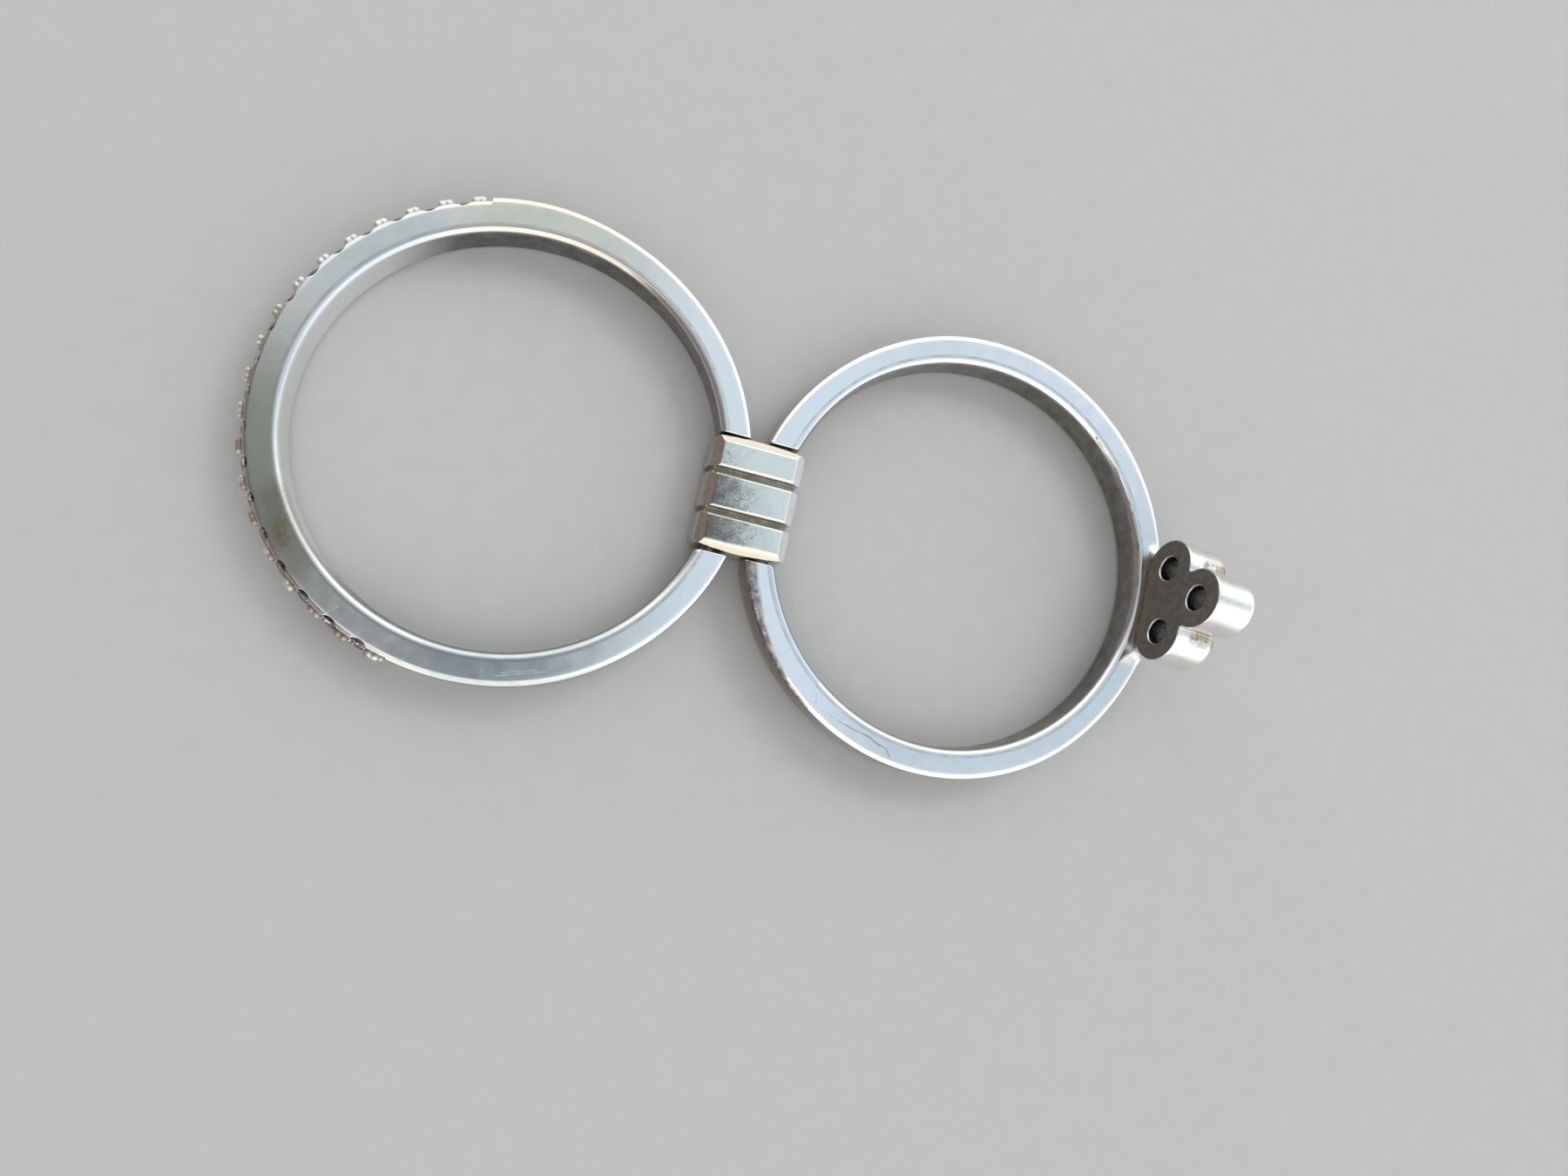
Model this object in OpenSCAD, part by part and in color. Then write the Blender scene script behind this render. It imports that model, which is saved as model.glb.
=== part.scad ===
// Folding double ring in silver: two hoops of one size, each hinged on its own
// pin in a short three-ribbed link. One hoop carries a row of small stones over
// its front half, the other a three-lobed setting soldered to its side edge.
// The ring lies open and flat. Z = 0 is the surface that it lies on, the link's
// centre is on the Z axis, the pins run along Y, +X points to the lobed hoop.

/* [Hoops] */
// Inner radius of both hoops (finger size)
hoop_ir = 8.8; // [8.2:0.1:10]
// Depth of the bands along the finger
band_w = 1.8; // [1.6:0.1:2.1]
// Radial thickness of the stone-set hoop's band
pave_t = 1.44; // [1.36:0.02:1.6]
// Radial thickness of the lobed hoop's band
lobe_t = 1.38; // [1.3:0.02:1.5]
// Width of the soft bevel between the flat sides and the outer surface
rim_w = 0.32; // [0.2:0.02:0.36]
// Drop of that bevel
rim_drop = 0.05; // [0.03:0.01:0.08]
// Height of the slight dome of the outer surface
dome_h = 0.05; // [0.02:0.01:0.08]
// Radius of the soft edges inside the bands
edge_r = 0.30; // [0.2:0.02:0.34]
// Half of the opening in each hoop, where the link sits
gap_half = 2.7; // [2.66:0.02:2.8]
// How far the stone-set hoop has slid along its pin
pave_slide = -0.04; // [-0.06:0.01:0.06]

/* [Link] */
// Width of the link across both pins
link_w = 4.1; // [3.8:0.1:4.3]
// Length of the link along the pins
link_l = 5.1; // [4.9:0.1:5.15]
// Thickness of the link
link_t = 2.2; // [2.1:0.1:2.6]
// Bevel along the link's long edges
link_bevel = 0.42; // [0.25:0.01:0.5]
// How far the link's middle is off the middle between the pins
link_off = 0.08; // [0:0.02:0.1]
// How far the link's side towards the stone-set hoop slopes out below
link_flare = 0.12; // [0.02:0.02:0.16]
// Width of the grooves between the three ribs
groove_w = 0.28; // [0.15:0.01:0.4]
// Depth of those grooves
groove_d = 0.26; // [0.1:0.01:0.3]

/* [Pins] */
// Distance between the two pin axes
pin_pitch = 2.3; // [2.2:0.05:2.4]
// Diameter of the pins
pin_d = 0.70; // [0.6:0.05:0.75]
// Radial running clearance of a pin in the link
pin_clear = 0.05; // [0.03:0.01:0.08]
// Depth of a pin's end in the hoop
pin_hold = 0.70; // [0.5:0.05:0.75]

/* [Stone row] */
// Number of stones in the row
stones = 18; // [12:1:18]
// Angle from one stone to the next
stone_step = 7.88; // [7.8:0.02:8.2]
// Turn of the row's middle off the hoop's front, in degrees
row_turn = 0.6; // [-2:0.1:2]
// Depth of the shoulder along the row, below the plain band's crown
row_drop = 0.11; // [0.08:0.01:0.2]
// Half of a prong's thickness, also the radius of its rounded top
bead_r = 0.20; // [0.14:0.01:0.22]
// Width of a prong along the row
prong_w = 0.68; // [0.5:0.02:0.74]
// Distance of the prongs from the middle of the band
prong_z = 0.56; // [0.5:0.01:0.6]
// Height of the prongs' tops over the shoulder
bead_h = 0.34; // [0.3:0.01:0.42]
// Width of the trench that the stones lie in
trench_w = 1.16; // [1:0.02:1.3]
// Radial depth of that trench
trench_d = 0.62; // [0.4:0.02:0.7]

/* [Lobed setting] */
// Radius of one lobe
lobe_r = 1.38; // [1.3:0.02:1.5]
// Length of the lobes, back to front
lobe_l = 2.28; // [2:0.02:2.6]
// Distance between the two lower lobes
lobe_pitch = 3.0; // [2.8:0.05:3.1]
// Height of the third lobe over the two lower ones
lobe_rise = 2.06; // [2:0.02:2.6]
// Outward lean of the setting
lobe_lean = 7; // [0:1:12]
// Turn of the setting on the band
lobe_turn = -2; // [-4:1:4]
// Distance from the hoop's centre to the setting's back face
lobe_back = 9.2; // [9.1:0.05:9.5]
// How far the setting is off the hoop's middle
lobe_shift = -0.06; // [-0.4:0.02:0.4]
// Diameter of the holes in the back
hole_d = 1.12; // [1.0:0.02:1.4]
// Diameter of the stones in the lobes
gem_d = 2.1; // [2:0.05:2.2]

/* [Hidden] */
$fn = 64;
e = 0.01;                                  // overlap where solids are joined or cut
pin_z = link_t / 2;                        // both pins lie at the link's mid height
pin_x = pin_pitch / 2;
// the band's middle meets the pin axis at the hoop's cut ends
arm = sqrt(pow(hoop_ir + lobe_t / 2 - 0.05, 2) - gap_half * gap_half);
dome_z = band_w / 2 - rim_drop - 0.07;     // the dome ends here, over the band's middle
dome_r = (dome_z * dome_z + dome_h * dome_h) / (2 * dome_h);       // radius of the dome's arc
// distance from a hoop's axis to the outer end of its flat sides
function flat_end(t) = hoop_ir + t - rim_w;
// lean of a hoop that pivots on its pin and touches the surface with its far edge
function lie(t) = asin((link_t - band_w) / 2 / (arm + flat_end(t)));
row_half = stones / 2 * stone_step;        // the row runs this far to both sides of its middle
row_mid = 180 + row_turn;
row_r = hoop_ir + pave_t - row_drop;       // the shoulder that the prongs stand on
silver = "#c9ccd2"; steel = "#9a9ca2"; stone = "#4a4650"; gem = "#6d6a78";

// Cross-section of a band: flat sides, round inner edges, a soft bevel outside
// and a slightly domed outer face. X is the distance from the hoop's axis, Y runs
// along the finger.
module band_section(t) {
    w = band_w / 2; x0 = hoop_ir + edge_r; r = hoop_ir + t;
    b = 0.05 + dome_h;                               // the bevel ends here, inside r
    y1 = w - rim_drop; y2 = y1 - 2 * 0.07; x2 = r - b + 2 * 0.05;
    union() {
        intersection() {
            polygon([[x0, -w], [r - rim_w, -w], [r - b, -y1], [x2, -y2],
                     [x2, y2], [r - b, y1], [r - rim_w, w], [x0, w]]);
            translate([r - dome_r, 0]) circle(r = dome_r);
        }
        translate([hoop_ir, -w + edge_r]) square([2 * edge_r, 2 * w - 2 * edge_r]);
        for (s = [-1, 1]) translate([x0, s * (w - edge_r)]) circle(r = edge_r);
    }
}

// A whole hoop about Z with its opening cut square towards +X for side = -1
// (the stone-set hoop) and towards -X for side = 1 (the lobed hoop).
module open_band(t, side) {
    difference() {
        rotate([0, 0, side < 0 ? 0 : 180]) rotate_extrude() band_section(t);
        translate([side < 0 ? 0 : -hoop_ir - 3, -gap_half, -band_w])
            cube([hoop_ir + 3, 2 * gap_half, 2 * band_w]);
        // blind holes for the two ends of the pin
        translate([-side * arm, 0, 0]) rotate([90, 0, 0])
            cylinder(d = pin_d + 0.02, h = 2 * (gap_half + pin_hold), center = true);
    }
}

// Sets a hoop modelled about its own centre on its pin, lying on the surface.
module on_pin(side) {
    translate([side * pin_x, 0, pin_z]) rotate([0, side * lie(side < 0 ? pave_t : lobe_t), 0])
        translate([side * arm, 0, 0]) children();
}

module pin(slide) {
    rotate([90, 0, 0]) translate([0, 0, -slide])
        cylinder(d = pin_d, h = 2 * (gap_half + pin_hold) - 0.04, center = true);
}

// Cross-section of a groove cut into a face at height h.
module groove_section(h) {
    g = groove_w / 2; c = 0.09;
    polygon([[-g, h - groove_d], [g, h - groove_d], [g, h - c], [g + c + e, h + e], [-g - c - e, h + e], [-g, h - c]]);
}

// The link: an oblong bar with bevelled edges and ends, three ribs and two bores.
module link() {
    w = link_w / 2; h = link_t / 2; b = link_bevel; l = link_l / 2;
    rib = (link_l - 2 * groove_w) / 3; bow = 13; cut = 0.26; f = link_flare;
    bore = pin_d + 2 * pin_clear;
    color(silver) translate([link_off, 0, pin_z]) difference() {
        intersection() {
            // section across the pins
            rotate([90, 0, 0]) linear_extrude(height = link_l, center = true)
                polygon([[-w + b - f, -h], [w - b, -h], [w, -h + b], [w, h - b],
                         [w - b, h], [-w + b, h], [-w, h - b], [-w - f, -h + b + 0.2], [-w - f, -h + b]]);
            // side outline: each end drops away in a soft bevel
            rotate([90, 0, 90]) linear_extrude(height = link_w + 1, center = true)
                polygon([[-l + 0.40, -h], [l - 0.40, -h], [l, -h + 0.28], [l, h - 0.28],
                         [l - 0.40, h], [-l + 0.40, h], [-l, h - 0.28], [-l, -h + 0.28]]);
            // plan outline: corners taken off, ends slightly bowed
            linear_extrude(height = link_t, center = true) intersection() {
                polygon([[-w + cut, -l], [w - cut, -l], [w, -l + cut], [w, l - cut],
                         [w - cut, l], [-w + cut, l], [-w - f, l - cut - f], [-w - f, -l + cut + f]]);
                translate([0, l - bow]) circle(r = bow);
                translate([0, bow - l]) circle(r = bow);
            }
        }
        // two grooves round the bar leave three ribs; the ribs' edges are bevelled
        for (s = [-1, 1]) translate([0, s * (rib + groove_w) / 2, 0]) {
            rotate([90, 0, 90]) linear_extrude(height = link_w + 1, center = true)
                for (k = [0, 180]) rotate(k) groove_section(h);
            linear_extrude(height = link_t + 1, center = true)
                for (k = [-90, 90]) rotate(k) groove_section(k < 0 ? w : w + f);
        }
        // one bore for each pin
        for (s = [-1, 1]) translate([s * pin_x - link_off, 0, 0]) rotate([90, 0, 0])
            cylinder(d = bore, h = link_l + 1, center = true);
    }
}

// One prong on the shoulder: X points outwards, Y along the row. Its top is
// rounded both ways.
module prong() {
    r = bead_r; round = 0.5;
    intersection() {
        union() {
            translate([-0.30, -prong_w / 2, -r]) cube([0.30 + bead_h - r, prong_w, 2 * r]);
            translate([bead_h - r, 0, 0]) rotate([90, 0, 0]) cylinder(r = r, h = prong_w, center = true);
        }
        translate([bead_h - round, 0, 0]) cylinder(r = round, h = 4 * r, center = true);
    }
}

// Stone-set hoop: the crown is cut down along the row, with a trench for the
// stones and a prong on each side of every gap between two stones.
module pave_hoop() {
    a = row_half + 3.0; b = row_half - 0.4;
    color(silver) on_pin(-1) translate([0, pave_slide, 0]) {
        difference() {
            open_band(pave_t, -1);
            // shoulder along the row
            rotate([0, 0, row_mid - a]) rotate_extrude(angle = 2 * a)
                translate([row_r, -band_w]) square([2, 2 * band_w]);
            // trench for the stones
            rotate([0, 0, row_mid - b]) rotate_extrude(angle = 2 * b)
                translate([row_r - trench_d, -trench_w / 2]) square([trench_d + 2, trench_w]);
            // scallops between the prongs
            for (i = [0 : stones - 1]) rotate([0, 0, row_mid - row_half + (i + 0.5) * stone_step])
                translate([row_r + 0.30, 0, 0]) cylinder(r = 0.42, h = 2 * band_w, center = true);
        }
        for (i = [0 : stones]) rotate([0, 0, row_mid - row_half + i * stone_step])
            for (s = [-1, 1]) translate([row_r, 0, s * prong_z]) prong();
    }
}

// The row of stones as one curved bar in the trench.
module pave_row() {
    b = row_half - 0.9;
    color(stone) on_pin(-1) translate([0, pave_slide, 0])
        rotate([0, 0, row_mid - b]) rotate_extrude(angle = 2 * b)
            translate([row_r - trench_d + 0.03, -0.30]) square([trench_d + 0.12, 0.60]);
}

module pave_pin() {
    color(steel) translate([-pin_x, 0, pin_z]) pin(pave_slide);
}

module trefoil_pin() {
    color(steel) translate([pin_x, 0, pin_z]) pin(0);
}

// Sets children on the setting's back face: X runs along the lobes, Y along the
// band, Z up the face from the band's side edge.
module at_setting() {
    translate([lobe_back, lobe_shift, band_w / 2]) rotate([0, lobe_lean, lobe_turn]) children();
}

lobe_u = lobe_r + 0.02;                    // height of the two lower lobes' centres
// Lobe centres: place along the band, height up the face
lobe_at = [[-lobe_pitch / 2, lobe_u], [lobe_pitch / 2, lobe_u], [0, lobe_u + lobe_rise]];

// One lobe: a round collet with a rounded front rim, drilled from the back and
// cut with a seat for its stone in front.
module lobe_solid() {
    r = 0.36;
    rotate([0, 90, 0]) rotate_extrude() union() {
        square([lobe_r, lobe_l - r]);
        square([lobe_r - r, lobe_l]);
        translate([lobe_r - r, lobe_l - r]) circle(r = r);
    }
}
module lobe_bore() {
    rotate([0, 90, 0]) {
        translate([0, 0, -0.5]) cylinder(d = hole_d, h = lobe_l + 1);
        translate([0, 0, lobe_l - 0.42]) cylinder(d = gem_d + 0.06, h = 1);
        translate([0, 0, lobe_l - 1.02]) cylinder(d1 = hole_d - e, d2 = gem_d + 0.06, h = 0.61);
        translate([0, 0, -e]) cylinder(d1 = hole_d + 0.20, d2 = hole_d - e, h = 0.11);
    }
}

// Fills the notch between two lobes a little, on their outer side.
module bridge(p, q) {
    d = 0.66; s = p[0] < 0 ? 1 : -1;           // distance of the fill from the centre line
    len = norm(q - p); k = sqrt(lobe_r * lobe_r - d * d);
    a = (q - p) / len; n = [-a[1], a[0]] * s;
    rotate([90, 0, 90]) linear_extrude(height = lobe_l - 0.5)
        polygon([p, p + a * k + n * d, q - a * k + n * d, q]);
}

// Lobed hoop: band and three-lobed setting soldered into one solid.
module trefoil_hoop() {
    color(silver) on_pin(1) {
        difference() {
            union() {
                open_band(lobe_t, 1);
                at_setting() {
                    for (p = lobe_at) translate([0, p[0], p[1]]) lobe_solid();
                    // web between the lobes
                    translate([0, -lobe_pitch / 2, 0.12]) cube([lobe_l - 0.5, lobe_pitch, lobe_u + 0.45]);
                    translate([0, -0.75, lobe_u]) cube([lobe_l - 0.5, 1.5, lobe_rise]);
                    for (p = [lobe_at[0], lobe_at[1]]) bridge(p, lobe_at[2]);
                    // foot on the band's side edge, its lower back edge rounded
                    rotate([90, 0, 0]) linear_extrude(height = 4.2, center = true) union() {
                        translate([0, 0.2]) square([0.62, 0.6]);
                        translate([0.2, -0.2]) square([0.42, 0.6]);
                        translate([0.2, 0.2]) circle(r = 0.2);
                    }
                }
            }
            at_setting() for (p = lobe_at) translate([0, p[0], p[1]]) lobe_bore();
        }
    }
}

// A round stone: flat table, crown, thin girdle and pointed back.
module cluster_stone(p) {
    r = gem_d / 2;
    color(gem) on_pin(1) at_setting() translate([lobe_l - 0.40, p[0], p[1]]) rotate([0, 90, 0])
        rotate_extrude() polygon([[0, -0.52], [hole_d / 2 - 0.14, -0.52], [r - 0.02, 0.0], [r - 0.02, 0.08],
                                  [r * 0.62, 0.40], [0, 0.40]]);
}
module cluster_stone_1() { cluster_stone(lobe_at[0]); }
module cluster_stone_2() { cluster_stone(lobe_at[1]); }
module cluster_stone_3() { cluster_stone(lobe_at[2]); }

link();
pave_hoop();
pave_row();
pave_pin();
trefoil_hoop();
trefoil_pin();
cluster_stone_1();
cluster_stone_2();
cluster_stone_3();
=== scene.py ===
import math
import random

import bmesh
import bpy
import numpy as np
from mathutils import Matrix, Vector


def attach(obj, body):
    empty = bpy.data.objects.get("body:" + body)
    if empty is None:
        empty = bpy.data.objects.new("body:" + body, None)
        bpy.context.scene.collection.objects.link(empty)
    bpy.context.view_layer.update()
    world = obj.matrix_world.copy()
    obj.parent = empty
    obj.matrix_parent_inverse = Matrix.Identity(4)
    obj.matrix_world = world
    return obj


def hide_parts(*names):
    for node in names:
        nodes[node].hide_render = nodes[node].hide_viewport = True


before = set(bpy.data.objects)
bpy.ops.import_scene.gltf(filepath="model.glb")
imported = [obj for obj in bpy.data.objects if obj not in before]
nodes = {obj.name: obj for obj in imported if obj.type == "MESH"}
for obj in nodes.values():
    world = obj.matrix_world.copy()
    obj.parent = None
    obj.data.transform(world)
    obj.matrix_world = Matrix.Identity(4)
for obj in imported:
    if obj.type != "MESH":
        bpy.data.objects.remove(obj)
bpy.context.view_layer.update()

scene = bpy.context.scene
MM = 0.001

# ---------------------------------------------------------------- camera
# Solved from the rims of both hoops in the photograph, in millimetres.
cam_data = bpy.data.cameras.new("camera")
cam_data.sensor_width = 36.0
cam_data.lens = 23.0
cam_data.clip_start = 0.002
cam_data.clip_end = 10.0
cam = bpy.data.objects.new("camera", cam_data)
scene.collection.objects.link(cam)
right = Vector((0.95234, 0.20367, 0.22709))
down = Vector((0.22706, -0.97043, -0.08189))
look = right.cross(down).normalized()
up = look.cross(right).normalized() * -1.0
if up.dot(down) > 0:
    up = -up
rot = Matrix((right, up, -look)).transposed()
cam.matrix_world = Matrix.Translation(Vector((-6.482, -9.072, 44.012)) * MM) @ rot.to_4x4()
scene.camera = cam

# ---------------------------------------------------------------- sizes, as in the CAD
HOOP_IR, BAND_W, PAVE_T, LOBE_T = 8.8, 1.8, 1.44, 1.38
DOME_H, RIM_W, RIM_DROP, EDGE_R = 0.05, 0.32, 0.05, 0.30
GAP_HALF, PAVE_SLIDE, LINK_T, PIN_PITCH = 2.7, -0.04, 2.2, 2.3
STONES, STEP, ROW_TURN, ROW_DROP = 18, 7.88, 0.6, 0.11
BEAD_H, PRONG_Z, TRENCH_W, TRENCH_D = 0.34, 0.56, 1.16, 0.62
LOBE_R, LOBE_L, LOBE_PITCH, LOBE_RISE = 1.38, 2.28, 3.0, 2.06
LEAN, TURN, LOBE_BACK, LOBE_SHIFT = 7.0, -2.0, 9.2, -0.06
HOLE_D, GEM_D = 1.12, 2.1
W = BAND_W / 2
ARM = math.sqrt((HOOP_IR + LOBE_T / 2 - 0.05) ** 2 - GAP_HALF ** 2)
DOME_Z = W - RIM_DROP - 0.07
DOME_R = (DOME_Z * DOME_Z + DOME_H * DOME_H) / (2 * DOME_H)
ROW_HALF = STONES / 2 * STEP
ROW_MID = 180 + ROW_TURN
ROW_R = HOOP_IR + PAVE_T - ROW_DROP


def flat_end(t):
    return HOOP_IR + t - RIM_W


def lie(side):
    return side * math.asin((LINK_T - BAND_W) / 2 / (ARM + flat_end(PAVE_T if side < 0 else LOBE_T)))


def hoop_to_row(p, side):
    """Points in a hoop's own frame, in mm, to the row frame."""
    a = lie(side)
    p = np.asarray(p, float)
    x, y, z = p[:, 0] + side * ARM, p[:, 1] + (PAVE_SLIDE if side < 0 else 0.0), p[:, 2]
    return np.c_[x * math.cos(a) + z * math.sin(a) + side * PIN_PITCH / 2, y,
                 -x * math.sin(a) + z * math.cos(a) + LINK_T / 2]


def setting_to_hoop(p):
    a, b = math.radians(LEAN), math.radians(TURN)
    p = np.asarray(p, float)
    x = p[:, 0] * math.cos(a) + p[:, 2] * math.sin(a)
    z = -p[:, 0] * math.sin(a) + p[:, 2] * math.cos(a)
    return np.c_[x * math.cos(b) - p[:, 1] * math.sin(b) + LOBE_BACK,
                 x * math.sin(b) + p[:, 1] * math.cos(b) + LOBE_SHIFT, z + W]


def setting_point(x, y, z):
    """One point of the setting's own frame, in the row frame, in mm."""
    return tuple(hoop_to_row(setting_to_hoop([(x, y, z)]), 1)[0])


def stone_hoop_point(phi, r, z):
    return tuple(hoop_to_row([(r * math.cos(math.radians(phi)), r * math.sin(math.radians(phi)), z)], -1)[0])


def make(name, verts, faces, smooth=True):
    """A mesh object from points in mm."""
    me = bpy.data.meshes.new(name)
    me.from_pydata([tuple(v) for v in np.asarray(verts, float) * MM], [], [tuple(int(i) for i in f) for f in faces])
    me.validate()
    bm = bmesh.new()
    bm.from_mesh(me)
    if bm.calc_volume(signed=True) < 0:
        bmesh.ops.reverse_faces(bm, faces=bm.faces)
    bm.to_mesh(me)
    bm.free()
    me.polygons.foreach_set("use_smooth", [smooth] * len(me.polygons))
    ob = bpy.data.objects.new(name, me)
    scene.collection.objects.link(ob)
    return ob


# ---------------------------------------------------------------- bands
def smin(a, b, k=0.012):
    m = np.minimum(a, b)
    return m - k * np.log(np.exp(-(a - m) / k) + np.exp(-(b - m) / k))


def smooth_step(x, lo, hi):
    t = np.clip((x - lo) / (hi - lo), 0, 1)
    return t * t * (3 - 2 * t)


def outer_half():
    """Upper half of the outer side, flat face to middle: (distance inside the crown, height over the middle)."""
    a1, a2 = math.radians(25.6), math.radians(80)
    out = []
    for k in range(7):
        a = a1 * k / 7
        out.append((RIM_W - 0.51 * math.sin(a), W - 0.51 * (1 - math.cos(a))))
    for k in range(7):
        a = a1 + (a2 - a1) * k / 6
        out.append((0.10 - 0.09 * (math.sin(a) - math.sin(a1)), W - 0.05 - 0.09 * (math.cos(a1) - math.cos(a))))
    for z in (0.76, 0.73, 0.70, 0.67, 0.64, 0.61, 0.595, 0.586, 0.575, 0.56, 0.52, 0.44, 0.33, 0.20, 0.08):
        out.append((DOME_R - math.sqrt(DOME_R ** 2 - z * z), z))
    return out


OUTER = outer_half()


# the hand-set places along the row drift up to a degree off an even spacing: at an angle, by so much
DRIFT = ((90, 0.0), (104, 0.9), (110, 0.8), (118, 0.5), (126, 0.45), (133, 0.15), (141, -0.1), (149, -0.3), (157, -0.4),
         (180, -0.5), (196, -0.3), (204, 0.0), (212, 0.3), (220, 0.9), (236, 0.9), (252, 0.6), (258, 0.5), (272, 0.0))
EVEN = np.linspace(0, 360, 721)
PLACED = EVEN + np.interp(EVEN, [a for a, _ in DRIFT], [d for _, d in DRIFT])


def placed(phi):
    return float(np.interp(phi, EVEN, PLACED))


def even(phi):
    return float(np.interp(phi, PLACED, EVEN))


def plain_face(phi, x, z):
    return x


def row_face(phi, x, z):
    """Radius of the stone-set hoop's outer side: crown cut down along the row, trench, scallops, prong feet."""
    if x < ROW_R - 0.25:
        return x
    off = even(phi) - ROW_MID
    d = abs(off)
    arc = math.radians(1) * ROW_R
    # the shoulder, with a short rounded step at each end of the row
    cut = smooth_step(d, ROW_HALF + 2.85, ROW_HALF + 3.25)
    s = (off + ROW_HALF) / STEP
    u = (s - math.floor(s)) * STEP
    to_prong = min(u, STEP - u) * arc                # distance to the nearest prong's middle
    to_stone = abs(u - STEP / 2) * arc
    top = ROW_R
    if -0.001 <= s <= STONES + 0.001:
        top -= max(0.0, math.sqrt(max(0.0, 0.44 ** 2 - to_stone ** 2)) - 0.30) * 1.0
    else:
        to_prong = min(abs(off + ROW_HALF), abs(off - ROW_HALF)) * arc
    foot = 0.10 * (1 - float(smooth_step(to_prong, 0.26, 0.42)))
    inner = float(smooth_step(abs(z), 0.42, 0.50) * (1 - smooth_step(abs(z), 0.70, 0.80)))
    r = float(smin(np.float64(x), np.float64(top + foot * inner)))
    r = r * (1 - cut) + x * cut
    # trench
    tb = float(smooth_step(d, ROW_HALF - 0.75, ROW_HALF - 0.35))
    if abs(z) < 0.58:
        r = (ROW_R - TRENCH_D) * (1 - tb) + r * tb
    return r


def hump(phi, mid, flat, half, h):
    d = abs((phi - mid + 180) % 360 - 180)
    return h * (1 - float(smooth_step(d, flat, half)))


def hand_made(side, phi):
    """Small changes of the outer radius round the hand-finished bands, in mm."""
    if side < 0:
        plain = float(smooth_step(abs(even(phi) - ROW_MID), ROW_HALF + 2.85, ROW_HALF + 3.25))
        return plain * (hump(phi, 30, 10, 62, -0.07) + hump(phi, 103, 4, 34, 0.12) + hump(phi, 318, 4, 24, -0.03))
    return hump(phi, 132, 4, 34, -0.07) + hump(phi, -28, 4, 30, -0.06) + hump(phi, 60, 10, 50, 0.02)


def section(t, side, face, phi):
    """Closed loop of (radius, height) for one cut through a band."""
    r0, r1 = HOOP_IR, HOOP_IR + t
    out = []
    for z in np.linspace(-(W - EDGE_R), W - EDGE_R, 9)[:-1]:
        out.append((r0, z))
    for k in range(9):
        a = math.pi - k * math.pi / 2 / 9
        out.append((r0 + EDGE_R + EDGE_R * math.cos(a), W - EDGE_R + EDGE_R * math.sin(a)))
    for x in np.linspace(r0 + EDGE_R, r1 - RIM_W, 6)[:-1]:
        out.append((x, W))
    for d, z in OUTER:
        out.append((face(phi, r1 - d, z), z))
    out.append((face(phi, r1, 0.0), 0.0))
    for d, z in reversed(OUTER):
        out.append((face(phi, r1 - d, -z), -z))
    for x in np.linspace(r1 - RIM_W, r0 + EDGE_R, 6)[1:]:
        out.append((x, -W))
    for k in range(8):
        a = -math.pi / 2 - (k + 1) * math.pi / 2 / 9
        out.append((r0 + EDGE_R + EDGE_R * math.cos(a), -(W - EDGE_R) + EDGE_R * math.sin(a)))
    out = np.array(out)
    out[:, 0] += hand_made(side, phi) * smooth_step(out[:, 0], r1 - 0.95, r1 - 0.40)
    return out


END = 2.63                                   # the polished ends come a little closer to the link than the CAD's


def band(name, t, side, face, angles, bumps=()):
    """Sweeps the section round the hoop. Both ends are flat cuts with softened edges."""
    mid = 180.0 if side < 0 else 0.0
    e0, e1 = angles[0], angles[-1]
    loops = []
    for phi in angles:
        sec = section(t, side, face, phi)
        rr = sec[:, 0]
        # at the ends the cut is a plane at y = +-END, so the angle depends on the radius
        end = np.degrees(np.arcsin(END / rr)) - math.degrees(math.asin(END / (HOOP_IR + t / 2)))
        f0 = max(0.0, 1 - (phi - e0) / 14.0)
        f1 = max(0.0, 1 - (e1 - phi) / 14.0)
        a = np.radians(phi + end * (f0 * f0 - f1 * f1))
        loops.append(np.c_[rr * np.cos(a), rr * np.sin(a), sec[:, 1]])
    # softened end edges: rings drawn in towards the section's middle
    def soften(loop, nxt):
        c = loop.mean(0)
        n = np.array([0.0, 1.0 if loop[:, 1].mean() > 0 else -1.0, 0.0])   # from the gap into the metal
        rings = []
        rad = 0.055
        for k in range(1, 5):
            th = k * math.pi / 2 / 4
            inset = rad * (1 - math.cos(th))
            lift = rad * (1 - math.sin(th))
            d = c - loop
            ln = np.linalg.norm(d, axis=1)[:, None]
            rings.append((loop + d / ln * inset + n * lift, lift))
        return rings
    first, last = loops[0].copy(), loops[-1].copy()
    ra = [r for r, _ in soften(first, loops[1])]
    rb = [r for r, _ in soften(last, loops[-2])]
    n0 = np.array([0.0, 1.0 if first[:, 1].mean() > 0 else -1.0, 0.0])
    n1 = np.array([0.0, 1.0 if last[:, 1].mean() > 0 else -1.0, 0.0])
    loops[0] = first + n0 * 0.055
    loops[-1] = last + n1 * 0.055
    allr = list(reversed(ra)) + loops + rb
    n = len(allr[0])
    v = np.vstack(allr)
    for cx, cy, cz, rad, h, nx, ny, nz in bumps:
        d = np.linalg.norm(v - np.array([cx, cy, cz]), axis=1)
        g = h * np.exp(-(d / rad) ** 2)
        v = v + g[:, None] * np.array([nx, ny, nz])
    faces = []
    for i in range(len(allr) - 1):
        a, b = i * n, (i + 1) * n
        for j in range(n):
            k = (j + 1) % n
            faces.append((a + j, a + k, b + k, b + j))
    # end caps: a fan round a middle point
    v = np.vstack([v, allr[0].mean(0), allr[-1].mean(0)])
    c0, c1 = len(v) - 2, len(v) - 1
    b = (len(allr) - 1) * n
    for j in range(n):
        k = (j + 1) % n
        faces.append((c0, k, j))
        faces.append((c1, b + j, b + k))
    return make(name, hoop_to_row(v, side), faces)


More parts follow.
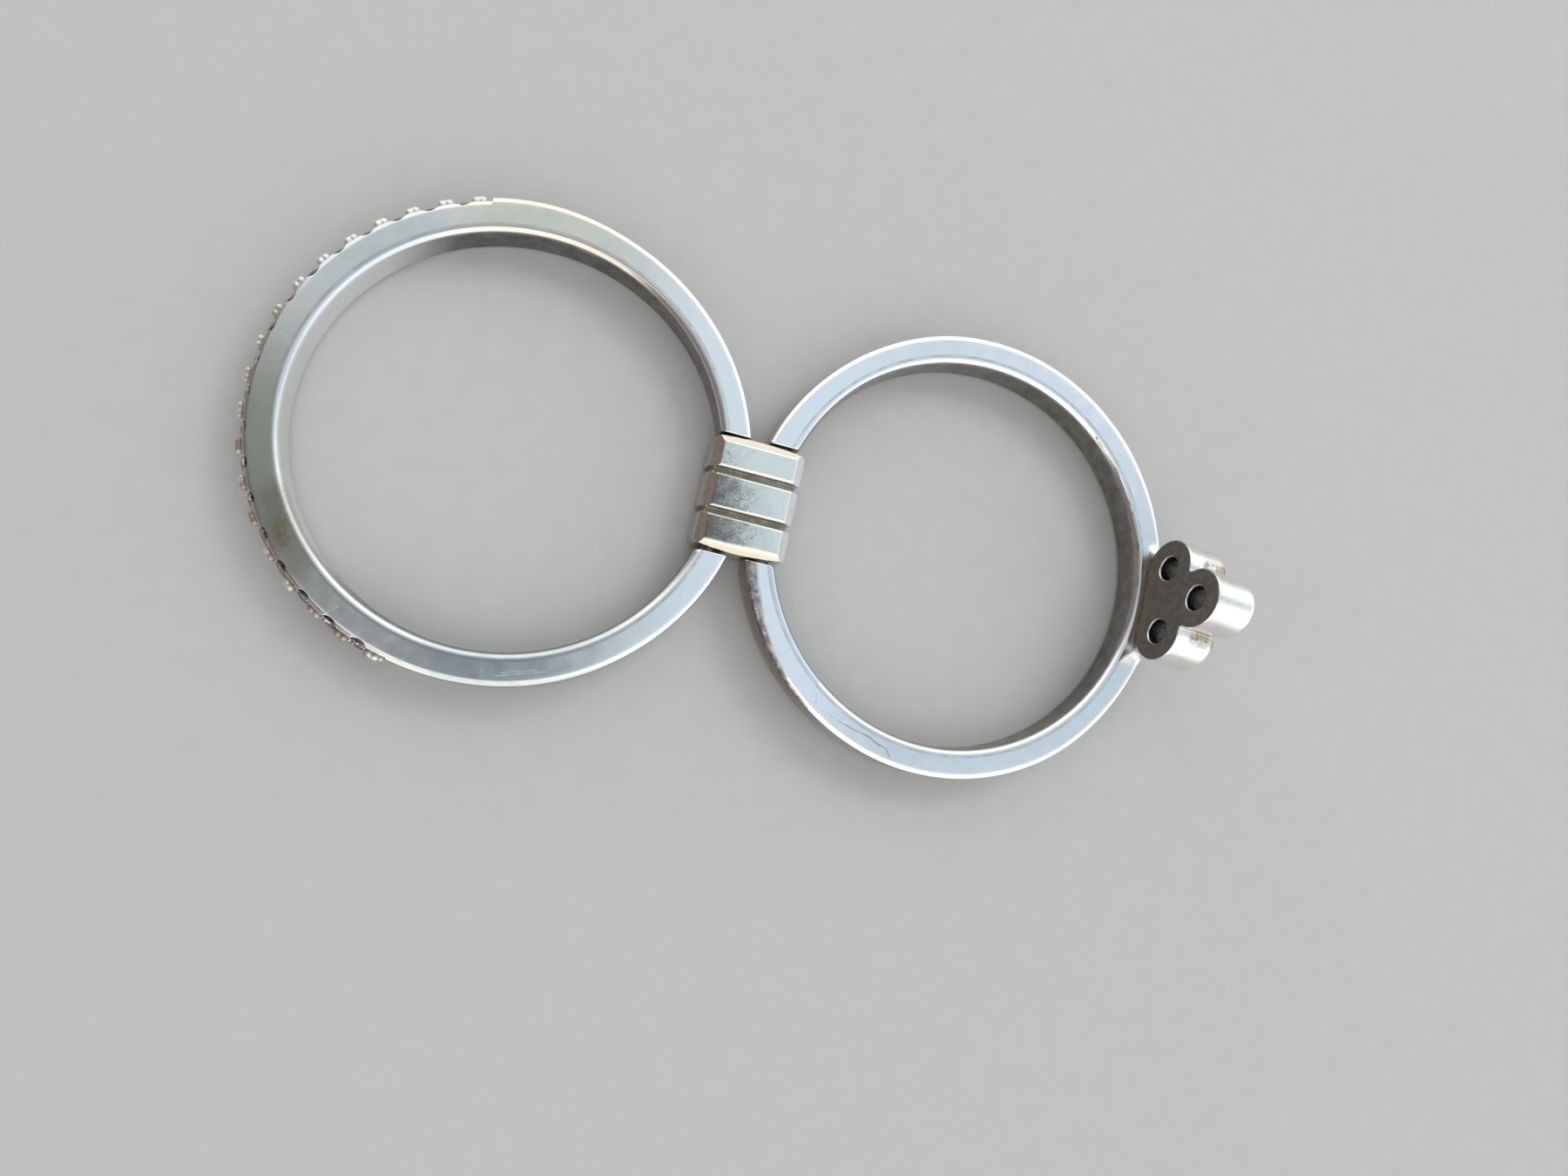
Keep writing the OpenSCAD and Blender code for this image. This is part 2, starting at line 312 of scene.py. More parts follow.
def steps(parts):
    out = []
    for a, b, s in parts:
        m = max(1, int(round((b - a) / s)))
        out += list(np.linspace(a, b, m + 1)[:-1])
    out.append(parts[-1][1])
    return out


end_p = math.degrees(math.asin(END / (HOOP_IR + PAVE_T / 2)))
a0, a1 = ROW_MID - ROW_HALF, ROW_MID + ROW_HALF
pave_angles = steps([
    (end_p, end_p + 3, 0.5), (end_p + 3, a0 - 4, 1.0), (a0 - 4, a0 - 2, 0.12), (a0 - 2, a0, 0.25), (a0, a0 + 1.2, 0.1),
    (a0 + 1.2, a1 - 1.2, 0.30), (a1 - 1.2, a1, 0.1), (a1, a1 + 2, 0.25), (a1 + 2, a1 + 4, 0.12),
    (a1 + 4, 360 - end_p - 3, 1.0), (360 - end_p - 3, 360 - end_p, 0.5)])
pave_angles = [placed(a) for a in pave_angles]
pave_band = band("stone_hoop_band", PAVE_T, -1, row_face, pave_angles)
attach(pave_band, "stone_half")

end_l = math.degrees(math.asin(END / (HOOP_IR + LOBE_T / 2)))
lobe_angles = steps([(-180 + end_l, -180 + end_l + 3, 0.5), (-180 + end_l + 3, -22, 1.0), (-22, 22, 0.35),
                     (22, 180 - end_l - 3, 1.0), (180 - end_l - 3, 180 - end_l, 0.5)])
# two low mounds of solder where the setting's foot meets the band
solder = [(9.34, 2.22, 0.90, 0.32, 0.11, 0.2, 0.3, 0.9), (9.30, -2.40, 0.90, 0.36, 0.12, 0.2, -0.3, 0.9),
          (9.62, -2.85, 0.84, 0.22, 0.05, 0.5, -0.2, 0.8)]
lobe_band = band("lobed_hoop_band", LOBE_T, 1, plain_face, lobe_angles, solder)
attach(lobe_band, "lobed_half")


# ---------------------------------------------------------------- solids that are remeshed to soft edges
def lathe_x(profile, n=72, at=(0.0, 0.0)):
    """Closed mesh round the X axis from (x, radius) points; the first and last radius are 0."""
    v, f = [], []
    idx = []
    for x, r in profile:
        if r < 1e-6:
            idx.append([len(v)])
            v.append((x, at[0], at[1]))
        else:
            idx.append(list(range(len(v), len(v) + n)))
            for k in range(n):
                a = 2 * math.pi * k / n
                v.append((x, at[0] + r * math.cos(a), at[1] + r * math.sin(a)))
    for p, q in zip(idx[:-1], idx[1:]):
        for k in range(n):
            m = (k + 1) % n
            if len(p) == 1 and len(q) == 1:
                continue
            if len(p) == 1:
                f.append((p[0], q[k], q[m]))
            elif len(q) == 1:
                f.append((p[k], q[0], p[m]))
            else:
                f.append((p[k], q[k], q[m], p[m]))
    return np.array(v, float), f


def prism_x(poly, x0, x1):
    """A polygon in the Y Z plane, extruded along X."""
    n = len(poly)
    v = [(x0, y, z) for y, z in poly] + [(x1, y, z) for y, z in poly]
    f = [tuple(range(n)), tuple(range(2 * n - 1, n - 1, -1))]
    f += [(k, k + n, (k + 1) % n + n, (k + 1) % n) for k in range(n)]
    return np.array(v, float), f


def oriented(v, f):
    bm = bmesh.new()
    vs = [bm.verts.new(p) for p in v]
    for q in f:
        bm.faces.new([vs[i] for i in q])
    bmesh.ops.recalc_face_normals(bm, faces=bm.faces)
    if bm.calc_volume(signed=True) < 0:
        bmesh.ops.reverse_faces(bm, faces=bm.faces)
    return bm


def temp_object(parts, name="temp"):
    """One object, in mm units, from several closed meshes."""
    me = bpy.data.meshes.new(name)
    total = bmesh.new()
    for v, f in parts:
        bm = oriented(v, f)
        m2 = bpy.data.meshes.new("part")
        bm.to_mesh(m2)
        bm.free()
        total.from_mesh(m2)
        bpy.data.meshes.remove(m2)
    total.to_mesh(me)
    total.free()
    ob = bpy.data.objects.new(name, me)
    scene.collection.objects.link(ob)
    return ob


def applied(ob):
    """Replaces an object's mesh by what its modifiers give."""
    dg = bpy.context.evaluated_depsgraph_get()
    dg.update()
    me = bpy.data.meshes.new_from_object(ob.evaluated_get(dg))
    ob.modifiers.clear()
    old = ob.data
    ob.data = me
    bpy.data.meshes.remove(old)
    return ob


def remesh(ob, voxel, smooth=0, factor=0.5):
    m = ob.modifiers.new("remesh", "REMESH")
    m.mode = "VOXEL"
    m.voxel_size = voxel
    m.adaptivity = 0.0
    if smooth:
        s = ob.modifiers.new("smooth", "SMOOTH")
        s.factor = factor
        s.iterations = smooth
    return applied(ob)


def cut(ob, cutter):
    m = ob.modifiers.new("cut", "BOOLEAN")
    m.operation = "DIFFERENCE"
    m.solver = "EXACT"
    m.object = cutter
    applied(ob)
    bpy.data.objects.remove(cutter)
    return ob


def finish_mm(ob, name, move=None):
    """An object in mm units becomes a piece in metres in the row frame."""
    me = ob.data
    co = np.zeros(len(me.vertices) * 3)
    me.vertices.foreach_get("co", co)
    co = co.reshape(-1, 3)
    if move is not None:
        co = move(co)
    me.vertices.foreach_set("co", (co * MM).ravel())
    me.polygons.foreach_set("use_smooth", [True] * len(me.polygons))
    me.update()
    ob.name = name
    me.name = name
    return ob


# ---------------------------------------------------------------- the three-lobed setting
LOBE_U = LOBE_R + 0.02
LOBE_AT = [(-LOBE_PITCH / 2, LOBE_U), (LOBE_PITCH / 2, LOBE_U), (0.0, LOBE_U + LOBE_RISE)]


def lobe_profile():
    r, b = 0.36, 0.07
    out = [(0.0, 0.0), (0.0, LOBE_R - b)]
    for k in range(1, 5):
        a = k * math.pi / 2 / 4
        out.append((b * (1 - math.cos(a)), LOBE_R - b + b * math.sin(a)))
    for k in range(0, 9):
        a = k * math.pi / 2 / 8
        out.append((LOBE_L - r + r * math.sin(a), LOBE_R - r + r * math.cos(a)))
    out.append((LOBE_L, 0.0))
    return out


def bore_profile():
    return [(-0.5, 0.0), (-0.5, HOLE_D / 2 + 0.09), (0.0, HOLE_D / 2 + 0.09), (0.04, HOLE_D / 2 + 0.03), (0.10, HOLE_D / 2),
            (LOBE_L - 1.02, HOLE_D / 2), (LOBE_L - 0.42, GEM_D / 2 + 0.02), (LOBE_L - 0.16, GEM_D / 2 + 0.02),
            (LOBE_L - 0.06, GEM_D / 2 + 0.07), (LOBE_L + 0.5, GEM_D / 2 + 0.22), (LOBE_L + 0.5, 0.0)]


def bridge(p, q):
    d, s = 0.66, (1 if p[0] < 0 else -1)
    p, q = np.array(p), np.array(q)
    ln = np.linalg.norm(q - p)
    k = math.sqrt(LOBE_R ** 2 - d * d)
    a = (q - p) / ln
    n = np.array([-a[1], a[0]]) * s
    return prism_x([tuple(p), tuple(p + a * k + n * d), tuple(q - a * k + n * d), tuple(q)], 0.02, LOBE_L - 0.5)


foot = [(0.02 + 0.2 * (1 - math.sin(a)), 0.2 * (1 - math.cos(a)) + 0.0) for a in np.linspace(0, math.pi / 2, 6)]
foot_poly = [(0.62, 0.80), (0.02, 0.80)] + list(reversed(foot)) + [(0.2, -0.05), (0.22, -0.18), (0.60, -0.18)]


def foot_mesh():
    # a polygon in X Z, extruded along Y, its ends drawn in a little
    n = len(foot_poly)
    v, f = [], []
    ys = [(-2.10, 0.12), (-1.98, 0.0), (1.98, 0.0), (2.10, 0.12)]
    for y, inset in ys:
        for x, z in foot_poly:
            cx, cz = 0.32, 0.3
            v.append((cx + (x - cx) * (1 - inset), y, cz + (z - cz) * (1 - inset)))
    for i in range(len(ys) - 1):
        for k in range(n):
            m = (k + 1) % n
            f.append((i * n + k, (i + 1) * n + k, (i + 1) * n + m, i * n + m))
    f.append(tuple(range(n)))
    f.append(tuple(range(4 * n - 1, 3 * n - 1, -1)))
    return np.array(v, float), f


parts = [lathe_x(lobe_profile(), 96, p) for p in LOBE_AT]
parts.append(prism_x([(-1.5, 0.12), (1.5, 0.12), (1.5, LOBE_U + 0.57), (-1.5, LOBE_U + 0.57)], 0.02, LOBE_L - 0.5))
parts.append(prism_x([(-0.75, LOBE_U), (0.75, LOBE_U), (0.75, LOBE_U + LOBE_RISE), (-0.75, LOBE_U + LOBE_RISE)], 0.02, LOBE_L - 0.5))
parts += [bridge(LOBE_AT[0], LOBE_AT[2]), bridge(LOBE_AT[1], LOBE_AT[2]), foot_mesh()]
VOX = 0.05
setting = remesh(temp_object(parts, "setting"), VOX, 3)
cut(setting, temp_object([lathe_x(bore_profile(), 64, p) for p in LOBE_AT], "bores"))
setting = remesh(setting, VOX, 3)
finish_mm(setting, "lobed_setting", lambda co: hoop_to_row(setting_to_hoop(co), 1))
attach(setting, "lobed_half")
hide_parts("trefoil_hoop")
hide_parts("pave_hoop")

# ---------------------------------------------------------------- the link
link_me = nodes["link"].data.copy()
link_me.transform(Matrix.Scale(1000.0, 4))
link = bpy.data.objects.new("link_body", link_me)
scene.collection.objects.link(link)
link = remesh(link, 0.04, 2, 0.5)
finish_mm(link, "link_body")
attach(link, "link")
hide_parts("link")


# ---------------------------------------------------------------- stones
def brilliant(r, crown=0.30, pav=0.84, girdle=0.035, table=0.56):
    """A round brilliant about Z, girdle at Z = 0, with its 57 facets."""
    v, f = [], []
    def ring(n, rad, z, turn=0.0):
        i = len(v)
        for k in range(n):
            a = 2 * math.pi * (k + turn) / n
            v.append((rad * math.cos(a), rad * math.sin(a), z))
        return list(range(i, i + n))
    T = ring(8, r * table, r * (crown + girdle))
    S = ring(8, r * 0.80, r * (crown * 0.52 + girdle), 0.5)
    G = ring(16, r, r * girdle)
    H = ring(16, r, -r * girdle)
    L = ring(8, r * 0.44, -r * (pav * 0.60 + girdle), 0.5)
    v.append((0, 0, -r * (pav + girdle)))
    C = len(v) - 1
    f.append(tuple(T))
    for k in range(8):
        f.append((T[k], S[k], T[(k + 1) % 8]))
        f.append((T[k], S[k - 1], G[2 * k], S[k]))
        f.append((S[k], G[2 * k], G[2 * k + 1]))
        f.append((S[k], G[2 * k + 1], G[(2 * k + 2) % 16]))
        f.append((H[2 * k], L[k - 1], C, L[k]))
        f.append((L[k], H[2 * k + 1], H[2 * k]))
        f.append((L[k], H[(2 * k + 2) % 16], H[2 * k + 1]))
    for k in range(16):
        f.append((G[k], H[k], H[(k + 1) % 16], G[(k + 1) % 16]))
    return np.array(v, float), f


def turned(v, spin):
    c, s = math.cos(spin), math.sin(spin)
    return np.c_[v[:, 0] * c - v[:, 1] * s, v[:, 0] * s + v[:, 1] * c, v[:, 2]]


rng = random.Random(4711)


def at_angle(v, phi, r, z=0.0):
    """Puts a shape whose Z axis points outwards on the hoop, its X along the row and its Y along the finger."""
    a = math.radians(phi)
    o = np.array([math.cos(a), math.sin(a), 0.0])
    tdir = np.array([-math.sin(a), math.cos(a), 0.0])
    return v[:, 2:3] * o + v[:, 0:1] * tdir + v[:, 1:2] * np.array([0, 0, 1.0]) + o * r + np.array([0, 0, z])


row_v, row_f = [], []
for i in range(STONES):
    v, f = brilliant(0.625)
    v = turned(v, rng.uniform(0, math.pi))
    tilt = rng.uniform(-0.03, 0.03), rng.uniform(-0.03, 0.03)
    v = np.c_[v[:, 0], v[:, 1], v[:, 2] + v[:, 0] * tilt[0] + v[:, 1] * tilt[1]]
    v = at_angle(v, placed(a0 + (i + 0.5) * STEP), ROW_R + 0.01 + rng.uniform(-0.01, 0.01))
    row_f += [tuple(k + sum(len(q) for q in row_v) for k in g) for g in f]
    row_v.append(v)
row = make("row_stones", hoop_to_row(np.vstack(row_v), -1), row_f, smooth=False)
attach(row, "stone_half")
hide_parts("pave_row")

# ---------------------------------------------------------------- prongs: two merged beads at each place
def prong_mesh(c, rho, top, foot=-0.30, n=20):
    """X along the row, Y along the finger, Z outwards from the shoulder."""
    a, cap = c + rho, 0.17
    def outline(th):
        two = c * abs(math.cos(th)) + math.sqrt(rho * rho - (c * math.sin(th)) ** 2)
        one = ((abs(math.cos(th)) / a) ** 3.2 + (abs(math.sin(th)) / (rho * 1.02)) ** 3.2) ** (-1 / 3.2)
        return 0.55 * two + 0.45 * one
    v, f = [], []
    rings = [(1.08, foot), (1.05, foot * 0.4), (1.0, 0.02), (0.99, (top - cap) * 0.6)]
    rings = [[(k * outline(2 * math.pi * j / n), 2 * math.pi * j / n, z) for j in range(n)] for k, z in rings]
    for ring in rings:
        v += [(r * math.cos(th), r * math.sin(th), z) for r, th, z in ring]
    for k in (0.985, 0.95, 0.87, 0.75, 0.60, 0.42, 0.22):
        for j in range(n):
            th = 2 * math.pi * j / n
            x, y = k * outline(th) * math.cos(th), k * outline(th) * math.sin(th)
            q = min(1.0, math.hypot(abs(x) - c if abs(x) > 0.5 * c else 0.5 * c, y) / rho)
            v.append((x, y, top - cap + cap * math.sqrt(max(0.0, 1 - q ** 2.6))))
    m = len(v) // n
    v.append((0.0, 0.0, top - cap + cap * math.sqrt(1 - (0.5 * c / rho) ** 2.6)))
    v.append((0.0, 0.0, foot))
    for i in range(m - 1):
        for j in range(n):
            k = (j + 1) % n
            f.append((i * n + j, i * n + k, (i + 1) * n + k, (i + 1) * n + j))
    for j in range(n):
        k = (j + 1) % n
        f.append(((m - 1) * n + j, (m - 1) * n + k, len(v) - 2))
        f.append((k, j, len(v) - 1))
    return np.array(v, float), f


pv, pf, count = [], [], 0
for i in range(STONES + 1):
    for s in (-1, 1):
        lv, lf = prong_mesh(rng.uniform(0.140, 0.160), rng.uniform(0.180, 0.194), BEAD_H + rng.uniform(-0.025, 0.005))
        turn = rng.uniform(-0.06, 0.06)
        x = lv[:, 0] * math.cos(turn) - lv[:, 1] * math.sin(turn) + rng.uniform(-0.015, 0.015)
        y = lv[:, 0] * math.sin(turn) + lv[:, 1] * math.cos(turn) + rng.uniform(-0.012, 0.012)
        # one of the two tops is often a little lower, and the tops lean over the stones
        z = lv[:, 2] * (1 + rng.uniform(-0.12, 0.12) * lv[:, 0])
        y = y - s * 0.10 * np.maximum(0, z - 0.12)
        p = at_angle(np.c_[x, y, z], placed(a0 + i * STEP), ROW_R, s * PRONG_Z)
        pf += [tuple(q + count for q in g) for g in lf]
        pv.append(p)
        count += len(p)
prongs = make("prong_beads", hoop_to_row(np.vstack(pv), -1), pf)
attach(prongs, "stone_half")

gems = []
for n, p in enumerate(LOBE_AT):
    v, f = brilliant(GEM_D / 2 - 0.03, crown=0.30, pav=0.82)
    v = turned(v, 0.2 + 0.7 * n)
    v = np.c_[v[:, 2] + LOBE_L - 0.36, v[:, 0] + p[0], v[:, 1] + p[1]]
    g = make("gem_%d" % (n + 1), hoop_to_row(setting_to_hoop(v), 1), f, smooth=False)
    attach(g, "lobed_half")
    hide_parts("cluster_stone_%d" % (n + 1))
    gems.append(g)


# ---------------------------------------------------------------- materials
class Nodes:
    """Small helper to write a node tree in short lines."""
    def __init__(self, name):
        self.mat = bpy.data.materials.new(name)
        self.mat.use_nodes = True
        self.t = self.mat.node_tree
        self.t.nodes.clear()
        self.out = self.t.nodes.new("ShaderNodeOutputMaterial")
        self.bsdf = self.t.nodes.new("ShaderNodeBsdfPrincipled")
        self.t.links.new(self.bsdf.outputs[0], self.out.inputs[0])
        tc = self.t.nodes.new("ShaderNodeTexCoord")
        sc = self.t.nodes.new("ShaderNodeVectorMath")
        sc.operation = "SCALE"
        sc.inputs[3].default_value = 1000.0
        self.t.links.new(tc.outputs["Object"], sc.inputs[0])
        self.mm = sc.outputs[0]                      # place on the object, in mm

    def link(self, a, b):
        self.t.links.new(a, b)

    def math(self, op, a, b=None, clamp=False):
        n = self.t.nodes.new("ShaderNodeMath")
        n.operation = op
        n.use_clamp = clamp
        for i, x in enumerate((a, b)):
            if x is None:
                continue
            if isinstance(x, (int, float)):
                n.inputs[i].default_value = x
            else:
                self.link(x, n.inputs[i])
        return n.outputs[0]

    def mapped(self, rot=(0, 0, 0), scale=(1, 1, 1), loc=(0, 0, 0), vec=None):
        n = self.t.nodes.new("ShaderNodeMapping")
        n.vector_type = "TEXTURE"                    # turned first, then stretched
        n.inputs["Location"].default_value = loc
        n.inputs["Rotation"].default_value = rot
        n.inputs["Scale"].default_value = scale
        self.link(vec or self.mm, n.inputs["Vector"])
        return n.outputs[0]

    def noise(self, scale, detail=2.0, rough=0.5, vec=None, distortion=0.0):
        n = self.t.nodes.new("ShaderNodeTexNoise")
        n.inputs["Scale"].default_value = scale
        n.inputs["Detail"].default_value = detail
        n.inputs["Roughness"].default_value = rough
        n.inputs["Distortion"].default_value = distortion
        self.link(vec or self.mm, n.inputs["Vector"])
        return n.outputs["Fac"]

    def ramp(self, fac, stops, mode="LINEAR"):
        n = self.t.nodes.new("ShaderNodeValToRGB")
        n.color_ramp.interpolation = mode
        el = n.color_ramp.elements
        while len(el) > 1:
            el.remove(el[-1])
        for i, (p, c) in enumerate(stops):
            e = el[0] if i == 0 else el.new(p)
            e.position = p
            c = (c, c, c) if isinstance(c, (int, float)) else c
            e.color = (*c, 1.0)
        self.link(fac, n.inputs["Fac"])
        return n.outputs["Color"]

    def mix(self, fac, a, b):
        n = self.t.nodes.new("ShaderNodeMix")
        n.data_type = "RGBA"
        if isinstance(fac, (int, float)):
            n.inputs[0].default_value = fac
        else:
            self.link(fac, n.inputs[0])
        for x, i in ((a, 6), (b, 7)):
            if isinstance(x, tuple):
                n.inputs[i].default_value = (*x, 1.0)
            else:
                self.link(x, n.inputs[i])
        return n.outputs[2]

    def axis(self, which):
        n = self.t.nodes.new("ShaderNodeSeparateXYZ")
        self.link(self.mm, n.inputs[0])
        return n.outputs[which]

    def normal(self, which):
        g = self.t.nodes.new("ShaderNodeNewGeometry")
        tr = self.t.nodes.new("ShaderNodeVectorTransform")
        tr.vector_type = "NORMAL"
        tr.convert_from = "WORLD"
        tr.convert_to = "OBJECT"
        self.link(g.outputs["Normal"], tr.inputs[0])
        n = self.t.nodes.new("ShaderNodeSeparateXYZ")
        self.link(tr.outputs[0], n.inputs[0])
        return n.outputs[which]

    def near(self, point, radius, soft=0.5):
        """1 near a point of the object, 0 further off."""
        d = self.t.nodes.new("ShaderNodeVectorMath")
        d.operation = "DISTANCE"
        self.link(self.mm, d.inputs[0])
        d.inputs[1].default_value = point
        m = self.t.nodes.new("ShaderNodeMapRange")
        m.interpolation_type = "SMOOTHSTEP"
        m.inputs["From Min"].default_value = radius * (1 - soft)
        m.inputs["From Max"].default_value = radius
        m.inputs["To Min"].default_value = 1.0
        m.inputs["To Max"].default_value = 0.0
        self.link(d.outputs["Value"], m.inputs["Value"])
        return m.outputs[0]

    def vmath(self, op, a, b=None, out="Value"):
        n = self.t.nodes.new("ShaderNodeVectorMath")
        n.operation = op
        for i, x in enumerate((a, b)):
            if x is None:
                continue
            if isinstance(x, tuple):
                n.inputs[i].default_value = x
            else:
                self.link(x, n.inputs[i])
        return n.outputs[out]

    def step(self, x, lo, hi):
        """0 below lo, 1 over hi, smooth between them. With lo > hi it falls instead of rising."""
        m = self.t.nodes.new("ShaderNodeMapRange")
        m.interpolation_type = "SMOOTHSTEP"
        m.inputs["From Min"].default_value = min(lo, hi)
        m.inputs["From Max"].default_value = max(lo, hi)
        m.inputs["To Min"].default_value = 0.0 if lo < hi else 1.0
        m.inputs["To Max"].default_value = 1.0 if lo < hi else 0.0
        self.link(x, m.inputs["Value"])
        return m.outputs[0]

    def stroke(self, p, q, radius, soft=0.5):
        """1 along the line from p to q, 0 further off than the radius."""
        d = tuple(b - a for a, b in zip(p, q))
        rel = self.vmath("SUBTRACT", self.mm, tuple(p), "Vector")
        t = self.math("MULTIPLY", self.vmath("DOT_PRODUCT", rel, d), 1.0 / sum(x * x for x in d), clamp=True)
        n = self.t.nodes.new("ShaderNodeVectorMath")
        n.operation = "SCALE"
        n.inputs[0].default_value = d
        self.link(t, n.inputs[3])
        return self.step(self.vmath("DISTANCE", rel, n.outputs[0]), radius, radius * (1 - soft))

    def radial(self, cx, cy):
        """Distance in the X Y plane from a hoop's centre, in mm."""
        n = self.t.nodes.new("ShaderNodeVectorMath")
        n.operation = "MULTIPLY"
        self.link(self.vmath("SUBTRACT", self.mm, (cx, cy, 0.0), "Vector"), n.inputs[0])
        n.inputs[1].default_value = (1.0, 1.0, 0.0)
        return self.vmath("LENGTH", n.outputs[0])

    def lines(self, rows, seed=0.0):
        """Fine straight scratches: 1 on a scratch, 0 elsewhere. Rows: direction, lean, length, width, share."""
        total = None
        for k, (ang, tilt, length, width, share) in enumerate(rows):
            v = self.mapped(rot=(tilt, 0.0, ang), scale=(length, width, 0.45), loc=(seed + k * 7.31, seed + k * 3.17, k * 1.73))
            n = self.t.nodes.new("ShaderNodeTexVoronoi")
            n.inputs["Scale"].default_value = 1.0
            self.link(v, n.inputs["Vector"])
            near = self.step(n.outputs["Distance"], 0.30, 0.17)
            sep = self.t.nodes.new("ShaderNodeSeparateColor")
            self.link(n.outputs["Color"], sep.inputs[0])
            pick = self.step(sep.outputs[0], 1 - share - 0.12, 1 - share + 0.12)
            line = self.math("MULTIPLY", near, pick)
            total = line if total is None else self.math("MAXIMUM", total, line)
        return total

    def bump(self, height, dist, strength=1.0, prev=None):
        n = self.t.nodes.new("ShaderNodeBump")
        n.inputs["Strength"].default_value = strength
        n.inputs["Distance"].default_value = dist
        self.link(height, n.inputs["Height"])
        if prev is not None:
            self.link(prev, n.inputs["Normal"])
        return n.outputs[0]


MANY = ((0.25, 0.1, 1.5, 0.034, 0.30), (1.15, -0.2, 1.1, 0.030, 0.26), (2.0, 0.3, 1.7, 0.034, 0.26),
        (2.75, 0.0, 1.0, 0.030, 0.30), (0.72, 0.7, 1.3, 0.034, 0.26), (1.60, -0.6, 0.8, 0.032, 0.24))
FEW = tuple((a, t, n * 1.3, w, h * 0.8) for a, t, n, w, h in MANY[:4])


def silver(name, base=(0.86, 0.865, 0.875), rough=(0.13, 0.24), rows=FEW, scratch=0.6, where=None, wave=1.0, grain=0.14, paint=None):
    """Worn polished silver. where(m) limits the scratches, paint(m, colour) adds tarnish and painted light and shade
    and gives (colour, mask).
    """
    m = Nodes(name)
    m.bsdf.inputs["Metallic"].default_value = 1.0
    m.big = m.noise(0.35, 3.0, 0.55)
    m.mid = m.noise(1.7, 3.0, 0.6)
    m.fine = m.noise(9.0, 3.0, 0.6)
    sc = m.math("MULTIPLY", m.lines(rows), scratch)
    if where is not None:
        sc = m.math("MULTIPLY", sc, where(m))
    # colour: slow patches of thin tarnish over the metal
    col = m.mix(m.ramp(m.big, [(0.35, 0.0), (0.7, 1.0)]), base, tuple(c * k for c, k in zip(base, (0.95, 0.945, 0.92))))
    col = m.mix(m.ramp(m.noise(15.0, 4.0, 0.7), [(0.36, 0.0), (0.66, 0.42)]), col, tuple(c * 0.80 for c in base))
    mask = None
    if paint is not None:
        col, mask = paint(m, col)
    # a fine grain all over
    col = m.mix(m.ramp(m.noise(19.0, 4.0, 0.75), [(0.38, 0.0), (0.64, grain)]), col, (0.34, 0.34, 0.325))
    col = m.mix(m.math("MULTIPLY", sc, 0.45), col, (0.72, 0.715, 0.70))
    m.link(col, m.bsdf.inputs["Base Color"])
    rr = m.t.nodes.new("ShaderNodeMapRange")
    rr.inputs["From Min"].default_value = 0.3
    rr.inputs["From Max"].default_value = 0.7
    rr.inputs["To Min"].default_value = rough[0]
    rr.inputs["To Max"].default_value = rough[1]
    m.link(m.mid, rr.inputs["Value"])
    rr = m.math("ADD", rr.outputs[0], m.math("MULTIPLY", sc, 0.14))
    if mask is not None:
        rr = m.math("ADD", rr, m.math("MULTIPLY", mask, 0.20))
    m.link(m.math("MINIMUM", rr, 0.9), m.bsdf.inputs["Roughness"])
    n1 = m.bump(m.noise(0.45, 1.0, 0.4), 0.000010 * wave, 1.0)
    n2 = m.bump(m.noise(13.0, 3.0, 0.65), 0.0000007 * wave, 1.0, n1)
    n3 = m.bump(m.math("SUBTRACT", 1.0, sc), 0.0000004, 1.0, n2)
    m.link(n3, m.bsdf.inputs["Normal"])
    return m


def set_mat(ob, m):
    ob.data.materials.clear()
    ob.data.materials.append(m.mat if isinstance(m, Nodes) else m)


HOOP_X = ARM + PIN_PITCH / 2
BROWN, OLIVE, ROSE = (0.30, 0.235, 0.17), (0.40, 0.385, 0.30), (0.62, 0.50, 0.45)


def wall_shade(m, col, cx, cy, tone, outer, lo=0.25, hi=0.75):
    """The band's inner and outer walls get a painted shade, darker than the flat sides, the inner one darkest."""
    nz = m.math("ABSOLUTE", m.normal(2))
    fac = m.step(nz, hi, lo)
    tone = m.mix(m.step(m.radial(cx, cy), 9.3, 9.6), tone, outer)
    return m.mix(m.math("MULTIPLY", fac, m.ramp(m.mid, [(0.3, 0.75), (0.7, 1.0)])), col, tone)


def rim_line(m, col, cx, cy):
    """The polished inner rim is bordered by a thin darker line on the flat side."""
    r = m.radial(cx, cy)
    line = m.math("MULTIPLY", m.step(r, 9.06, 9.12), m.step(r, 9.24, 9.14))
    flat = m.step(m.math("ABSOLUTE", m.normal(2)), 0.90, 0.99)
    fac = m.math("MULTIPLY", m.math("MULTIPLY", line, flat), m.ramp(m.mid, [(0.3, 0.15), (0.65, 0.75)]))
    return m.mix(fac, col, (0.50, 0.45, 0.43))


def near_link_sheen(m, col):
    """Painted highlight: the flat sides are brightest near the link."""
    flat = m.step(m.math("ABSOLUTE", m.normal(2)), 0.90, 0.99)
    near = m.step(m.math("ABSOLUTE", m.axis(0)), 8.5, 3.0)
    return m.mix(m.math("MULTIPLY", flat, near), col, (0.985, 0.985, 0.985))


def join(m, *masks):
    out = masks[0]
    for k in masks[1:]:
        out = m.math("MAXIMUM", out, k)
    return out


